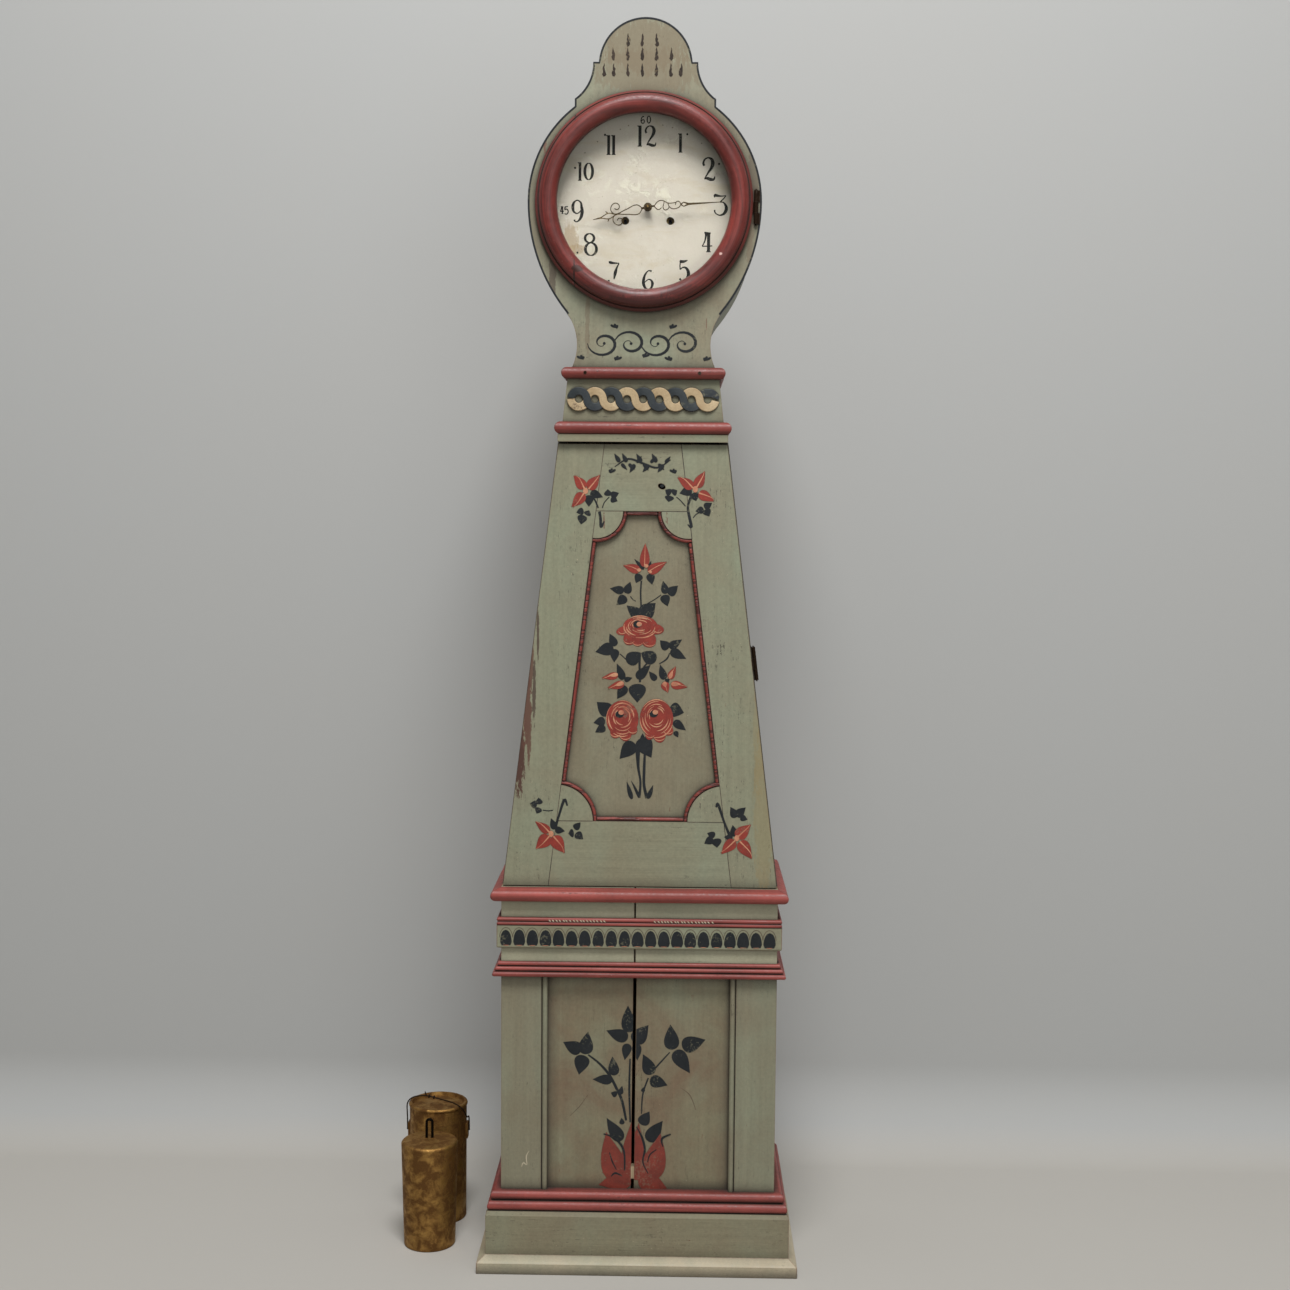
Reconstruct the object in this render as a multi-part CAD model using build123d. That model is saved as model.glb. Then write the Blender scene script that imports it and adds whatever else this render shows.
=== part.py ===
from build123d import *
import os
from math import acos, asin, atan2, cos, degrees, radians, sin, sqrt

# A painted pine long-case clock: a square base, a trunk that narrows upwards behind one tall framed door,
# and a round-headed hood with a crest that slides off forwards. Its two weights stand beside it.
# Millimetres. X is to the clock's right as it is faced, Y goes into the clock, Z is up from the floor.

# ---- Driving dimensions -------------------------------------------------------------------------------

TOTAL_HEIGHT = 2080.0
CASE_DEPTH = 275.0  # front of the base pilasters to the back of the backboard
BACKBOARD = 14.0
BACKBOARD_Y = CASE_DEPTH - BACKBOARD

BASE_HALF = 232.0
BASE_TOP = 503.8
CASE_TOP = 654.4  # top of the moulded waist, where the trunk stands
SIDE_BOARD = 18.0
FACING = 9.0  # pilasters and waist facings stand this far in front of the base boards
BASE_BOARD = 14.0
PILASTER_INNER = 153.7
PILASTER_BEAD = 9.0
CRACK_TOP = (-8.7, -3.0)  # the shrinkage crack between the two base boards, at the top
CRACK_FOOT = (-12.4, -6.9)  # and at the floor
CRACK_PLUG = (151.0, 172.0)  # a light wooden plug fills it between these heights
FACING_CRACK = (-8.4, -5.8)

PLINTH_TOP = 102.5
PLINTH_REACH = 24.3
PLINTH_CHAMFER = 7.0
SKIRTING_REACH = 14.0
PLINTH_MOULDING_TOP = 133.4

TRUNK_TOP = 1397.6
TRUNK_TOP_HALF = 141.0
TRUNK_BOARD = 15.0
DOOR_FACE = 4.0
DOOR_BACK = 23.6
TRUNK_FRONT = 24.0
DOOR_SETBACK = 2.2  # the door edge stays this far inside the trunk's own edge
DOOR_FOOT = 656.2
DOOR_TOP = 1394.0
STILE_WIDTH = 76.0
OPENING_FOOT = 766.4
OPENING_TOP = 1284.2
PANEL_FACE = 12.0
PANEL_BOARD = 7.0
PANEL_TONGUE = 5.0
TOP_BRACKET = 45.0
FOOT_BRACKET = 61.0
BEAD_WIDTH = 6.6
BEAD_SHOULDER = 4.4
BEAD_HEIGHT = 7.2
BEAD_GAP = 0.3

HEAD_Z = 1786.0
HEAD_RADIUS = 190.8
LOWER_RADIUS = 280.0  # the fuller curve below the middle of the head
NECK_RADIUS = 87.0
NECK_HALF = 109.3
NECK_FOOT = 1519.0
HEAD_FACE = 4.0
HEAD_BOARD = 16.0
SHELL_INSET = 3.0
SHELL_WALL = 6.0
HOOD_BACK = BACKBOARD_Y - 0.5
DOME_RADIUS = 76.0
DOME_SHOULDER = (85.0, 2009.0)
CREST_HOLLOW = (90.4, 1981.0)  # a point on the hollow below the shoulder
CREST_FOOT = (114.6, 1950.5)
DIAL_HOLE = 150.0

COLLAR_TOP = 1500.0
COLLAR_FOOT = 1430.4
COLLAR_TOP_HALF = 124.5
COLLAR_FOOT_HALF = 132.4
COLLAR_FACE = 2.0
COLLAR_BOARD = 14.0
LOWER_ROLL_FOOT = 1409.8
GUILLOCHE_Z = 1467.1
GUILLOCHE_PITCH = 26.4
GUILLOCHE_EYES = 9
GUILLOCHE_BAND = 13.0
GUILLOCHE_EYE = 6.5
GUILLOCHE_RELIEF = 5.0

BEZEL_X = -1.0
BEZEL_OUTER = 177.0
BEZEL_INNER = 141.5
BEZEL_BACK = 3.6
BEZEL_EDGE = -4.0
BEZEL_CROWN = -24.0
GLASS_RADIUS = 147.5
GLASS_FACE = -1.0
GLASS_BACK = 1.5
BEZEL_HINGE = (181.0, 0.0)  # X and Y of the vertical hinge pin
BEZEL_HINGE_Z = (1751.0, 1805.0)

TRUNK_HINGE_Z = 1032.0
TRUNK_HINGE_LENGTH = 56.0
TRUNK_KNUCKLE = 3.2
TRUNK_PIN = 1.2
TRUNK_HINGE_OUT = 3.8  # from the trunk side to the pin

MOVEMENT_X = 5.0
MOVEMENT_Z = 1780.0
DIAL_FACE = 23.0
DIAL_SHEET = 1.4
DIAL_RADIUS = 158.0
FRONT_PLATE = 42.0
BACK_PLATE = 103.0
PLATE = 3.0
PLATE_HALF = 72.0
PLATE_FOOT = -72.0
PLATE_HEAD = 84.0
SEAT_BOARD = 20.0
PIVOT = 1.0
PIVOT_PLAY = 0.06

GREAT_MODULE = 0.818
GREAT_TEETH = 96
STRIKE_TEETH = 72
CENTRE_MODULE = 0.7
CENTRE_TEETH = 60
THIRD_MODULE = 0.65
THIRD_TEETH = 56
PIN_MODULE = 0.6
PIN_TEETH = 48
LEAVES = 8
FINE_LEAVES = 7
ESCAPE_TEETH = 30
ESCAPE_RADIUS = 17.5
MOTION_TEETH = 24
MOTION_MODULE = 0.9
HOUR_LEAVES = 6
BARREL_RADIUS = 22.0
BARREL_Y = (54.0, 94.0)

HOUR_HAND = 92.0
HOUR_HAND_ANGLE = 193.1  # counter-clockwise from 3 o'clock
MINUTE_HAND = 122.0
MINUTE_HAND_ANGLE = 3.7
HOUR_HAND_Y = 15.0
MINUTE_HAND_Y = 9.4
HAND_SHEET = 1.2
HOUR_PIPE = 3.6

PENDULUM_Y = 150.0
PENDULUM_LENGTH = 994.0
BOB_RADIUS = 56.0
SUSPENSION_PIN = 1.5
CRUTCH = 60.0
BOB_THICKNESS = 24.0
LINE_RADIUS = 1.1
LINE_Y = 79.0
LINE_FOOT = 745.0

STAPLE_WIRE = 2.3
FRONT_WEIGHT = (-366.0, 87.0)
REAR_WEIGHT = (-367.0, 208.0)
LUG_Z = 160.0
WIRE = 1.2

# ---- Helpers ------------------------------------------------------------------------------------------


def front_slab(face, y_front, y_back):
    """Extrude a face drawn in X and Z from y_front back to y_back."""
    plane = Plane(origin=(0, y_front, 0), x_dir=(1, 0, 0), z_dir=(0, -1, 0))
    return extrude(plane * face, amount=y_back - y_front, dir=(0, 1, 0))


def polygon(*points):
    return make_face(Polyline(*points, close=True))


def block(x, y, z):
    """A box given by its (low, high) pairs."""
    size = [high - low for low, high in (x, y, z)]
    middle = [(low + high) / 2 for low, high in (x, y, z)]
    return Pos(*middle) * Box(*size)


def rod(x, z, radius, y_front, y_back):
    """A round bar along Y."""
    return front_slab(Pos(x, z) * Circle(radius), y_front, y_back)


def both_sides(shape):
    """A piece of the right side and its mirror twin on the left."""
    return [*shape.solids(), *mirror(shape, about=Plane.YZ).solids()]


def polar(centre, distance, angle):
    return (centre[0] + distance * cos(radians(angle)), centre[1] + distance * sin(radians(angle)))


def trunk_half(z):
    """Half the trunk's width at height z."""
    share = (TRUNK_TOP - z) / (TRUNK_TOP - CASE_TOP)
    return TRUNK_TOP_HALF + share * (BASE_HALF - TRUNK_TOP_HALF)


def door_half(z):
    return trunk_half(z) - DOOR_SETBACK


def opening_half(z):
    return door_half(z) - STILE_WIDTH


def mitred_run(profile, half_width, face_y, outer, inner=0.0, rebate=0.0, back_y=CASE_DEPTH):
    """A moulding round the front and both sides: three strips that meet in mitres.

    profile is drawn with X outwards from the case face and Y upwards; outer and inner are how far it
    reaches to each side of that face, and rebate is how far the front strip goes on behind the face.
    """
    front_inner = inner + rebate
    far = half_width + outer
    front_plane = Plane(origin=(0, face_y, 0), x_dir=(0, -1, 0), z_dir=(-1, 0, 0))
    front = extrude(front_plane * profile, amount=far, both=True)
    box = profile.bounding_box()
    if rebate:
        front += block((-far, far), (face_y, face_y + rebate), (box.min.Y, box.max.Y))
    plan = polygon(
        (-far, face_y - outer),
        (far, face_y - outer),
        (half_width - inner, face_y + front_inner),
        (inner - half_width, face_y + front_inner),
    )
    front &= extrude(plan, amount=TOTAL_HEIGHT)
    side_plane = Plane(origin=(half_width, face_y - outer, 0), x_dir=(1, 0, 0), z_dir=(0, -1, 0))
    side = extrude(side_plane * profile, amount=back_y - face_y + outer, dir=(0, 1, 0))
    plan = polygon(
        (far, face_y - outer),
        (far, back_y),
        (half_width - inner, back_y),
        (half_width - inner, face_y + front_inner),
    )
    side &= extrude(plan, amount=TOTAL_HEIGHT)
    return [*front.solids(), *both_sides(side)]


def rolled_bar(foot, top, outer, inner):
    """Section of a bar with a half-round nose."""
    radius = (top - foot) / 2
    middle = (top + foot) / 2
    edges = [
        Line((-inner, foot), (outer - radius, foot)),
        ThreePointArc((outer - radius, foot), (outer, middle), (outer - radius, top)),
        Line((outer - radius, top), (-inner, top)),
        Line((-inner, top), (-inner, foot)),
    ]
    return make_face(edges)


def bulging_steps(foot, top, reaches):
    """Section of a moulding made of rounded steps, one above the other, from the foot upwards."""
    edges = []
    height = (top - foot) / len(reaches)
    edges.append(Line((0, foot), (reaches[0] - 1, foot)))
    for index, reach in enumerate(reaches):
        low = foot + index * height
        high = low + height
        bulge = (reach + height * 0.28, low + height / 2)
        edges.append(ThreePointArc((reach - 1, low), bulge, (reach - 1, high)))
        following = reaches[index + 1] - 1 if index + 1 < len(reaches) else 0
        if following < reach - 1:
            edges.append(Line((reach - 1, high), (following, high)))
    edges.append(Line((0, top), (0, foot)))
    return make_face(edges)


# ---- Base ---------------------------------------------------------------------------------------------


def crack_x(z, side):
    share = z / CASE_TOP
    return CRACK_FOOT[side] + share * (CRACK_TOP[side] - CRACK_FOOT[side])


def base_front(side):
    """One of the two front boards; side 0 is left of the crack and 1 is right of it."""
    edge = (side * 2 - 1) * (BASE_HALF - SIDE_BOARD)
    face = polygon((edge, 0), (crack_x(0, side), 0), (crack_x(CASE_TOP, side), CASE_TOP), (edge, CASE_TOP))
    return front_slab(face, FACING, FACING + BASE_BOARD)


def base_crack_plug():
    foot, top = CRACK_PLUG
    face = polygon(
        (crack_x(foot, 0), foot), (crack_x(foot, 1), foot), (crack_x(top, 1), top), (crack_x(top, 0), top)
    )
    return front_slab(face, FACING - 1, FACING + BASE_BOARD)


def base_sides():
    side = block((BASE_HALF - SIDE_BOARD, BASE_HALF), (FACING, BACKBOARD_Y), (0, CASE_TOP))
    return both_sides(side)


def base_pilasters():
    """Flat pilasters with a bead along the inner edge."""
    bead_end = PILASTER_INNER + PILASTER_BEAD
    edges = [
        Line((PILASTER_INNER, FACING), (PILASTER_INNER, 1.5)),
        ThreePointArc((PILASTER_INNER, 1.5), (PILASTER_INNER + PILASTER_BEAD / 2, -2.5), (bead_end, 2.5)),
        Line((bead_end, 2.5), (bead_end + 1.5, 0)),
        Line((bead_end + 1.5, 0), (BASE_HALF, 0)),
        Line((BASE_HALF, 0), (BASE_HALF, FACING)),
        Line((BASE_HALF, FACING), (PILASTER_INNER, FACING)),
    ]
    shaft = extrude(make_face(edges), amount=BASE_TOP - PLINTH_MOULDING_TOP)
    return both_sides(Pos(0, 0, PLINTH_MOULDING_TOP) * shaft)


def plinth_boards():
    profile = polygon(
        (0, 0),
        (PLINTH_REACH, 0),
        (PLINTH_REACH, PLINTH_TOP - PLINTH_CHAMFER),
        (PLINTH_REACH - PLINTH_CHAMFER / 2, PLINTH_TOP),
        (0, PLINTH_TOP),
    )
    return mitred_run(profile, BASE_HALF, 0, PLINTH_REACH, rebate=FACING)


def skirting():
    profile = polygon((0, 0), (SKIRTING_REACH, 0), (SKIRTING_REACH, 18), (SKIRTING_REACH - 3, 21), (0, 29))
    return mitred_run(profile, BASE_HALF + PLINTH_REACH, -PLINTH_REACH, SKIRTING_REACH)


def plinth_moulding():
    profile = bulging_steps(PLINTH_TOP, PLINTH_MOULDING_TOP, (17.0, 10.0))
    return mitred_run(profile, BASE_HALF, 0, 22.0, rebate=FACING)


def base_moulding():
    profile = bulging_steps(BASE_TOP, BASE_TOP + 24.1, (12.0, 7.5, 3.5))
    return mitred_run(profile, BASE_HALF, 0, 15.0)


def waist_facings():
    """The plain boards behind the waist mouldings, parted by the same crack as the base."""
    right = block((FACING_CRACK[1], BASE_HALF), (0, FACING), (BASE_TOP, CASE_TOP))
    left = block((-BASE_HALF, FACING_CRACK[0]), (0, FACING), (BASE_TOP, CASE_TOP))
    return [*left.solids(), *right.solids()]


def lunette_frieze():
    foot, top, reach = 551.6, 589.8, 7.2
    profile = polygon((0, foot), (reach - 2, foot), (reach, foot + 2), (reach, top), (0, top))
    return mitred_run(profile, BASE_HALF, 0, reach)


def reeded_band():
    profile = bulging_steps(589.8, 603.4, (5.2, 5.2))
    return mitred_run(profile, BASE_HALF, 0, 8.0)


def waist_cornice():
    """The red roll under the trunk, with a sloping shelf above it."""
    foot, reach = 631.5, 17.0
    edges = [
        Line((0, foot), (9, foot)),
        ThreePointArc((9, foot), (reach, foot + 9), (13, 649.5)),
        Line((13, 649.5), (0, CASE_TOP)),
        Line((0, CASE_TOP), (0, foot)),
    ]
    return mitred_run(make_face(edges), BASE_HALF, 0, reach)


# ---- Trunk --------------------------------------------------------------------------------------------


def trunk_sides():
    low, high = trunk_half(CASE_TOP), trunk_half(TRUNK_TOP)
    face = polygon(
        (low, CASE_TOP), (high, TRUNK_TOP), (high - TRUNK_BOARD, TRUNK_TOP), (low - TRUNK_BOARD, CASE_TOP)
    )
    return both_sides(front_slab(face, TRUNK_FRONT, BACKBOARD_Y))


def head_outline(inset=0.0, foot=NECK_FOOT):
    """The round head and the neck below it, without the crest, drawn smaller by inset."""
    outer = HEAD_RADIUS - inset
    lower = LOWER_RADIUS - inset
    neck = NECK_RADIUS + inset
    low_x = HEAD_RADIUS - LOWER_RADIUS
    neck_x = NECK_HALF + NECK_RADIUS
    span = LOWER_RADIUS + NECK_RADIUS
    drop = sqrt(span**2 - (neck_x - low_x) ** 2)
    neck_z = HEAD_Z - drop
    slope = asin(drop / span)
    join = (low_x + lower * cos(slope), HEAD_Z - lower * sin(slope))
    knee = (low_x + lower * cos(slope / 2), HEAD_Z - lower * sin(slope / 2))
    foot_x = neck_x - sqrt(neck**2 - (neck_z - foot) ** 2)
    edges = [
        ThreePointArc((outer, HEAD_Z), knee, join),
        ThreePointArc(join, (neck_x - neck, neck_z), (foot_x, foot)),
    ]
    edges += [mirror(edge, about=Plane.YZ) for edge in edges]
    edges.append(Line((foot_x, foot), (-foot_x, foot)))
    edges.append(ThreePointArc((outer, HEAD_Z), (0, HEAD_Z + outer), (-outer, HEAD_Z)))
    return make_face(edges)


def backboard():
    """One board from the floor to the back of the head."""
    low = polygon((-BASE_HALF, 0), (BASE_HALF, 0), (BASE_HALF, CASE_TOP), (-BASE_HALF, CASE_TOP))
    high = trunk_half(TRUNK_TOP)
    middle = polygon((-BASE_HALF, CASE_TOP), (BASE_HALF, CASE_TOP), (high, TRUNK_TOP), (-high, TRUNK_TOP))
    inset = SHELL_INSET + SHELL_WALL / 2
    stem = polygon((-128, TRUNK_TOP), (128, TRUNK_TOP), (106, NECK_FOOT), (-106, NECK_FOOT))
    return front_slab(low + middle + stem + head_outline(inset), BACKBOARD_Y, CASE_DEPTH)


def door_panel():
    """The fielded panel, with a tongue all round that sits in the frame."""
    low, high = OPENING_FOOT - PANEL_TONGUE, OPENING_TOP + PANEL_TONGUE
    wide, narrow = opening_half(low) + PANEL_TONGUE, opening_half(high) + PANEL_TONGUE
    face = polygon((-wide, low), (wide, low), (narrow, high), (-narrow, high))
    return front_slab(face, PANEL_FACE, PANEL_FACE + PANEL_BOARD)


def door_stiles():
    face = polygon(
        (opening_half(DOOR_FOOT), DOOR_FOOT),
        (door_half(DOOR_FOOT), DOOR_FOOT),
        (door_half(DOOR_TOP), DOOR_TOP),
        (opening_half(DOOR_TOP), DOOR_TOP),
    )
    stile = front_slab(face, DOOR_FACE, DOOR_BACK)
    return both_sides(stile - door_panel())


def door_rail(low, high):
    wide, narrow = opening_half(low), opening_half(high)
    face = polygon((-wide, low), (wide, low), (narrow, high), (-narrow, high))
    return front_slab(face, DOOR_FACE, DOOR_BACK) - door_panel()


def door_top_rail():
    """The rail with a worn keyhole through it."""
    keyhole = front_slab(Pos(31.6, 1325.3) * Rot(0, 0, -25) * Ellipse(6.5, 4.5), DOOR_FACE, DOOR_BACK)
    return door_rail(OPENING_TOP, DOOR_TOP) - keyhole


TRUNK_TILT = degrees(atan2(BASE_HALF - TRUNK_TOP_HALF, TRUNK_TOP - CASE_TOP))


def bracket_arc(corner_z, radius, upward):
    """A round about one of the right-hand corners of the opening, from the rail to the stile."""
    corner = (opening_half(corner_z), corner_z)
    stile_angle = (270 if upward else 90) + TRUNK_TILT
    return [polar(corner, radius, angle) for angle in (180, (180 + stile_angle) / 2, stile_angle)]


BRACKETS = ((OPENING_TOP, TOP_BRACKET, True), (OPENING_FOOT, FOOT_BRACKET, False))


def door_brackets():
    """A quarter disc in each corner of the opening, flush with the frame."""
    pieces = []
    for corner_z, size, upward in BRACKETS:
        corner = (opening_half(corner_z), corner_z)
        rail_end, middle, stile_end = bracket_arc(corner_z, size, upward)
        edge = ThreePointArc(rail_end, middle, stile_end)
        face = make_face([edge, Line(stile_end, corner), Line(corner, rail_end)])
        pieces += both_sides(front_slab(face, DOOR_FACE, PANEL_FACE))
    return pieces


def bead_strip(path):
    """A round-fronted bead along a path drawn in X and Z, standing on the panel."""
    start = path @ 0
    along = path % 0
    half = BEAD_WIDTH / 2
    origin = (start.X, PANEL_FACE, start.Y)
    section_plane = Plane(origin=origin, x_dir=(0, -1, 0), z_dir=(along.X, 0, along.Y))
    edges = [
        Line((0, -half), (BEAD_SHOULDER, -half)),
        ThreePointArc((BEAD_SHOULDER, -half), (BEAD_HEIGHT, 0), (BEAD_SHOULDER, half)),
        Line((BEAD_SHOULDER, half), (0, half)),
        Line((0, half), (0, -half)),
    ]
    rail = Plane(origin=(0, PANEL_FACE, 0), x_dir=(1, 0, 0), z_dir=(0, -1, 0)) * path
    return sweep(section_plane * make_face(edges), path=rail)


def door_beads():
    """Eight strips of bead inside the opening: four straight, and four round the brackets."""
    strips = []
    ends = []
    for corner_z, size, upward in BRACKETS:
        corner = (opening_half(corner_z), corner_z)
        strips += both_sides(bead_strip(ThreePointArc(*bracket_arc(corner_z, size + BEAD_WIDTH / 2, upward))))
        reach = corner[0] - size - BEAD_WIDTH - BEAD_GAP
        middle_z = corner_z - BEAD_WIDTH / 2 if upward else corner_z + BEAD_WIDTH / 2
        strips += bead_strip(Line((-reach, middle_z), (reach, middle_z))).solids()
        stile_end = bracket_arc(corner_z, size + BEAD_WIDTH + BEAD_GAP, upward)[-1]
        ends.append(polar(stile_end, BEAD_WIDTH / 2, 180 + TRUNK_TILT))
    return strips + both_sides(bead_strip(Line(*ends)))


TRUNK_HINGE_X = trunk_half(TRUNK_HINGE_Z) + TRUNK_HINGE_OUT / cos(radians(TRUNK_TILT))
TRUNK_HINGE_FRAME = Pos(TRUNK_HINGE_X, TRUNK_FRONT, TRUNK_HINGE_Z) * Rot(0, -TRUNK_TILT, 0)


def trunk_hinge_fixed():
    """The leaf on the trunk side, with the outer knuckles and the pin."""
    third = TRUNK_HINGE_LENGTH / 3
    hinge = Pos(0, 0, third) * Cylinder(TRUNK_KNUCKLE, third)
    hinge += Pos(0, 0, -third) * Cylinder(TRUNK_KNUCKLE, third)
    hinge += Cylinder(TRUNK_PIN, TRUNK_HINGE_LENGTH + 4)
    half = TRUNK_HINGE_LENGTH / 2
    leaf = block((-TRUNK_HINGE_OUT, -TRUNK_HINGE_OUT + 1.5), (0, 26), (-half, half))
    leaf -= block((-TRUNK_HINGE_OUT, -TRUNK_HINGE_OUT + 1.5), (0, 5), (-third / 2 - 0.5, third / 2 + 0.5))
    return TRUNK_HINGE_FRAME * (hinge + leaf)


def trunk_hinge_moving():
    """The middle knuckle, and a leaf down the edge of the door."""
    third = TRUNK_HINGE_LENGTH / 3
    door_edge = -TRUNK_HINGE_OUT - DOOR_SETBACK * cos(radians(TRUNK_TILT))
    leaf = block((door_edge, door_edge + 1.5), (-18, -1), (-third / 2 + 0.3, third / 2 - 0.3))
    leaf += block((door_edge, -2.5), (-3, -1), (-third / 2 + 0.3, third / 2 - 0.3))
    knuckle = leaf + Cylinder(TRUNK_KNUCKLE, third - 0.6)
    return TRUNK_HINGE_FRAME * (knuckle - Cylinder(TRUNK_PIN + PIVOT_PLAY, TRUNK_HINGE_LENGTH))


# ---- Hood ---------------------------------------------------------------------------------------------


def head_board():
    """The front board: crest, round head and neck in one, with the dial hole through it."""
    shoulder_z = DOME_SHOULDER[1]
    dome_z = TOTAL_HEIGHT - DOME_RADIUS
    dome_x = sqrt(DOME_RADIUS**2 - (shoulder_z - dome_z) ** 2)
    foot_z = HEAD_Z + sqrt(HEAD_RADIUS**2 - CREST_FOOT[0] ** 2)
    edges = [
        Line((dome_x, shoulder_z), DOME_SHOULDER),
        ThreePointArc(DOME_SHOULDER, CREST_HOLLOW, CREST_FOOT),
        Line(CREST_FOOT, (CREST_FOOT[0], foot_z - 10)),
    ]
    edges += [mirror(edge, about=Plane.YZ) for edge in edges]
    edges.append(ThreePointArc((dome_x, shoulder_z), (0, TOTAL_HEIGHT), (-dome_x, shoulder_z)))
    edges.append(Line((CREST_FOOT[0], foot_z - 10), (-CREST_FOOT[0], foot_z - 10)))
    face = make_face(edges) + head_outline()
    face -= Pos(BEZEL_X, HEAD_Z) * Circle(DIAL_HOLE)
    return front_slab(face, HEAD_FACE, HEAD_FACE + HEAD_BOARD)


def head_shell():
    """The bent wooden side of the head and neck, open behind and below."""
    face = head_outline(SHELL_INSET) - head_outline(SHELL_INSET + SHELL_WALL)
    return front_slab(face, HEAD_FACE + HEAD_BOARD, HOOD_BACK)


def upper_roll():
    profile = rolled_bar(COLLAR_TOP, NECK_FOOT, 14.4, 22.0)
    return mitred_run(profile, 120.0, HEAD_FACE, 14.4, inner=22.0, back_y=HOOD_BACK)


def lower_roll():
    profile = rolled_bar(LOWER_ROLL_FOOT, COLLAR_FOOT, 12.4, 24.0)
    return mitred_run(profile, 133.0, COLLAR_FACE, 12.4, inner=24.0, back_y=HOOD_BACK)


def collar_boards():
    """The flared front and sides of the collar, and the plain frame that they stand on."""
    face = polygon(
        (-COLLAR_FOOT_HALF, COLLAR_FOOT),
        (COLLAR_FOOT_HALF, COLLAR_FOOT),
        (COLLAR_TOP_HALF, COLLAR_TOP),
        (-COLLAR_TOP_HALF, COLLAR_TOP),
    )
    front = front_slab(face, COLLAR_FACE, COLLAR_FACE + COLLAR_BOARD)
    face = polygon(
        (COLLAR_FOOT_HALF, COLLAR_FOOT),
        (COLLAR_TOP_HALF, COLLAR_TOP),
        (COLLAR_TOP_HALF - COLLAR_BOARD, COLLAR_TOP),
        (COLLAR_FOOT_HALF - COLLAR_BOARD, COLLAR_FOOT),
    )
    side = front_slab(face, COLLAR_FACE + COLLAR_BOARD, HOOD_BACK)
    fillet = polygon((-24, TRUNK_TOP), (7, TRUNK_TOP), (7, LOWER_ROLL_FOOT), (-24, LOWER_ROLL_FOOT))
    frame = mitred_run(fillet, 133.0, COLLAR_FACE, 7.0, inner=24.0, back_y=HOOD_BACK)
    return [*front.solids(), *both_sides(side), *frame]


def guilloche():
    """A chain of rings, each sharing a strand with the next, carved in low relief."""
    outer = GUILLOCHE_EYE + GUILLOCHE_BAND
    first = -(GUILLOCHE_EYES - 1) / 2 * GUILLOCHE_PITCH
    face = None
    eyes = []
    for index in range(GUILLOCHE_EYES):
        place = Pos(first + index * GUILLOCHE_PITCH, GUILLOCHE_Z)
        ring = place * Circle(outer)
        face = ring if face is None else face + ring
        eyes.append(place * Circle(GUILLOCHE_EYE))
    for eye in eyes:
        face -= eye
    return front_slab(face, COLLAR_FACE - GUILLOCHE_RELIEF, COLLAR_FACE)


def bezel_hinge_moving():
    """The middle knuckle, and a leaf let into the back of the bezel."""
    x, y = BEZEL_HINGE
    low, high = BEZEL_HINGE_Z
    third = (high - low) / 3
    span = (low + third + 0.3, high - third - 0.3)
    hinge = Pos(x, y, (low + high) / 2) * Cylinder(3.4, span[1] - span[0])
    hinge += block((x - 28, x), (2.2, BEZEL_BACK), span)
    return hinge - Pos(x, y, (low + high) / 2) * Cylinder(1.35, high - low)


def bezel_hinge_fixed():
    """The outer knuckles and the pin, on a leaf that lies on the head board."""
    x, y = BEZEL_HINGE
    low, high = BEZEL_HINGE_Z
    third = (high - low) / 3
    hinge = Pos(x, y, (low + high) / 2) * Cylinder(1.3, high - low + 4)
    hinge += Pos(x, y, low + third / 2) * Cylinder(3.4, third)
    hinge += Pos(x, y, high - third / 2) * Cylinder(3.4, third)
    for span in ((low, low + third), (high - third, high)):
        hinge += block((x, x + 6.5), (2.4, HEAD_FACE), span)
    return hinge


def bezel_ring():
    """The turned door ring: a bold round with a quirk near its rim and a rebate for the glass."""
    crown = ((BEZEL_OUTER + BEZEL_INNER) / 2, BEZEL_CROWN)
    edges = [
        Line((GLASS_RADIUS, BEZEL_BACK), (BEZEL_OUTER, BEZEL_BACK)),
        Line((BEZEL_OUTER, BEZEL_BACK), (BEZEL_OUTER, BEZEL_EDGE)),
        Line((BEZEL_OUTER, BEZEL_EDGE), (BEZEL_OUTER - 4, BEZEL_EDGE - 5)),
        Line((BEZEL_OUTER - 4, BEZEL_EDGE - 5), (BEZEL_OUTER - 6, BEZEL_EDGE - 4)),
        ThreePointArc((BEZEL_OUTER - 6, BEZEL_EDGE - 4), crown, (BEZEL_INNER, BEZEL_EDGE - 2)),
        Line((BEZEL_INNER, BEZEL_EDGE - 2), (BEZEL_INNER, GLASS_FACE)),
        Line((BEZEL_INNER, GLASS_FACE), (GLASS_RADIUS, GLASS_FACE)),
        Line((GLASS_RADIUS, GLASS_FACE), (GLASS_RADIUS, BEZEL_BACK)),
    ]
    ring = revolve(make_face(edges), axis=Axis.Y)
    return Pos(BEZEL_X, 0, HEAD_Z) * ring - bezel_hinge_moving()


def bezel_glass():
    return rod(BEZEL_X, HEAD_Z, GLASS_RADIUS, GLASS_FACE, GLASS_BACK)


# ---- Movement -----------------------------------------------------------------------------------------


def pitch_radius(teeth, module):
    return teeth * module / 2


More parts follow.
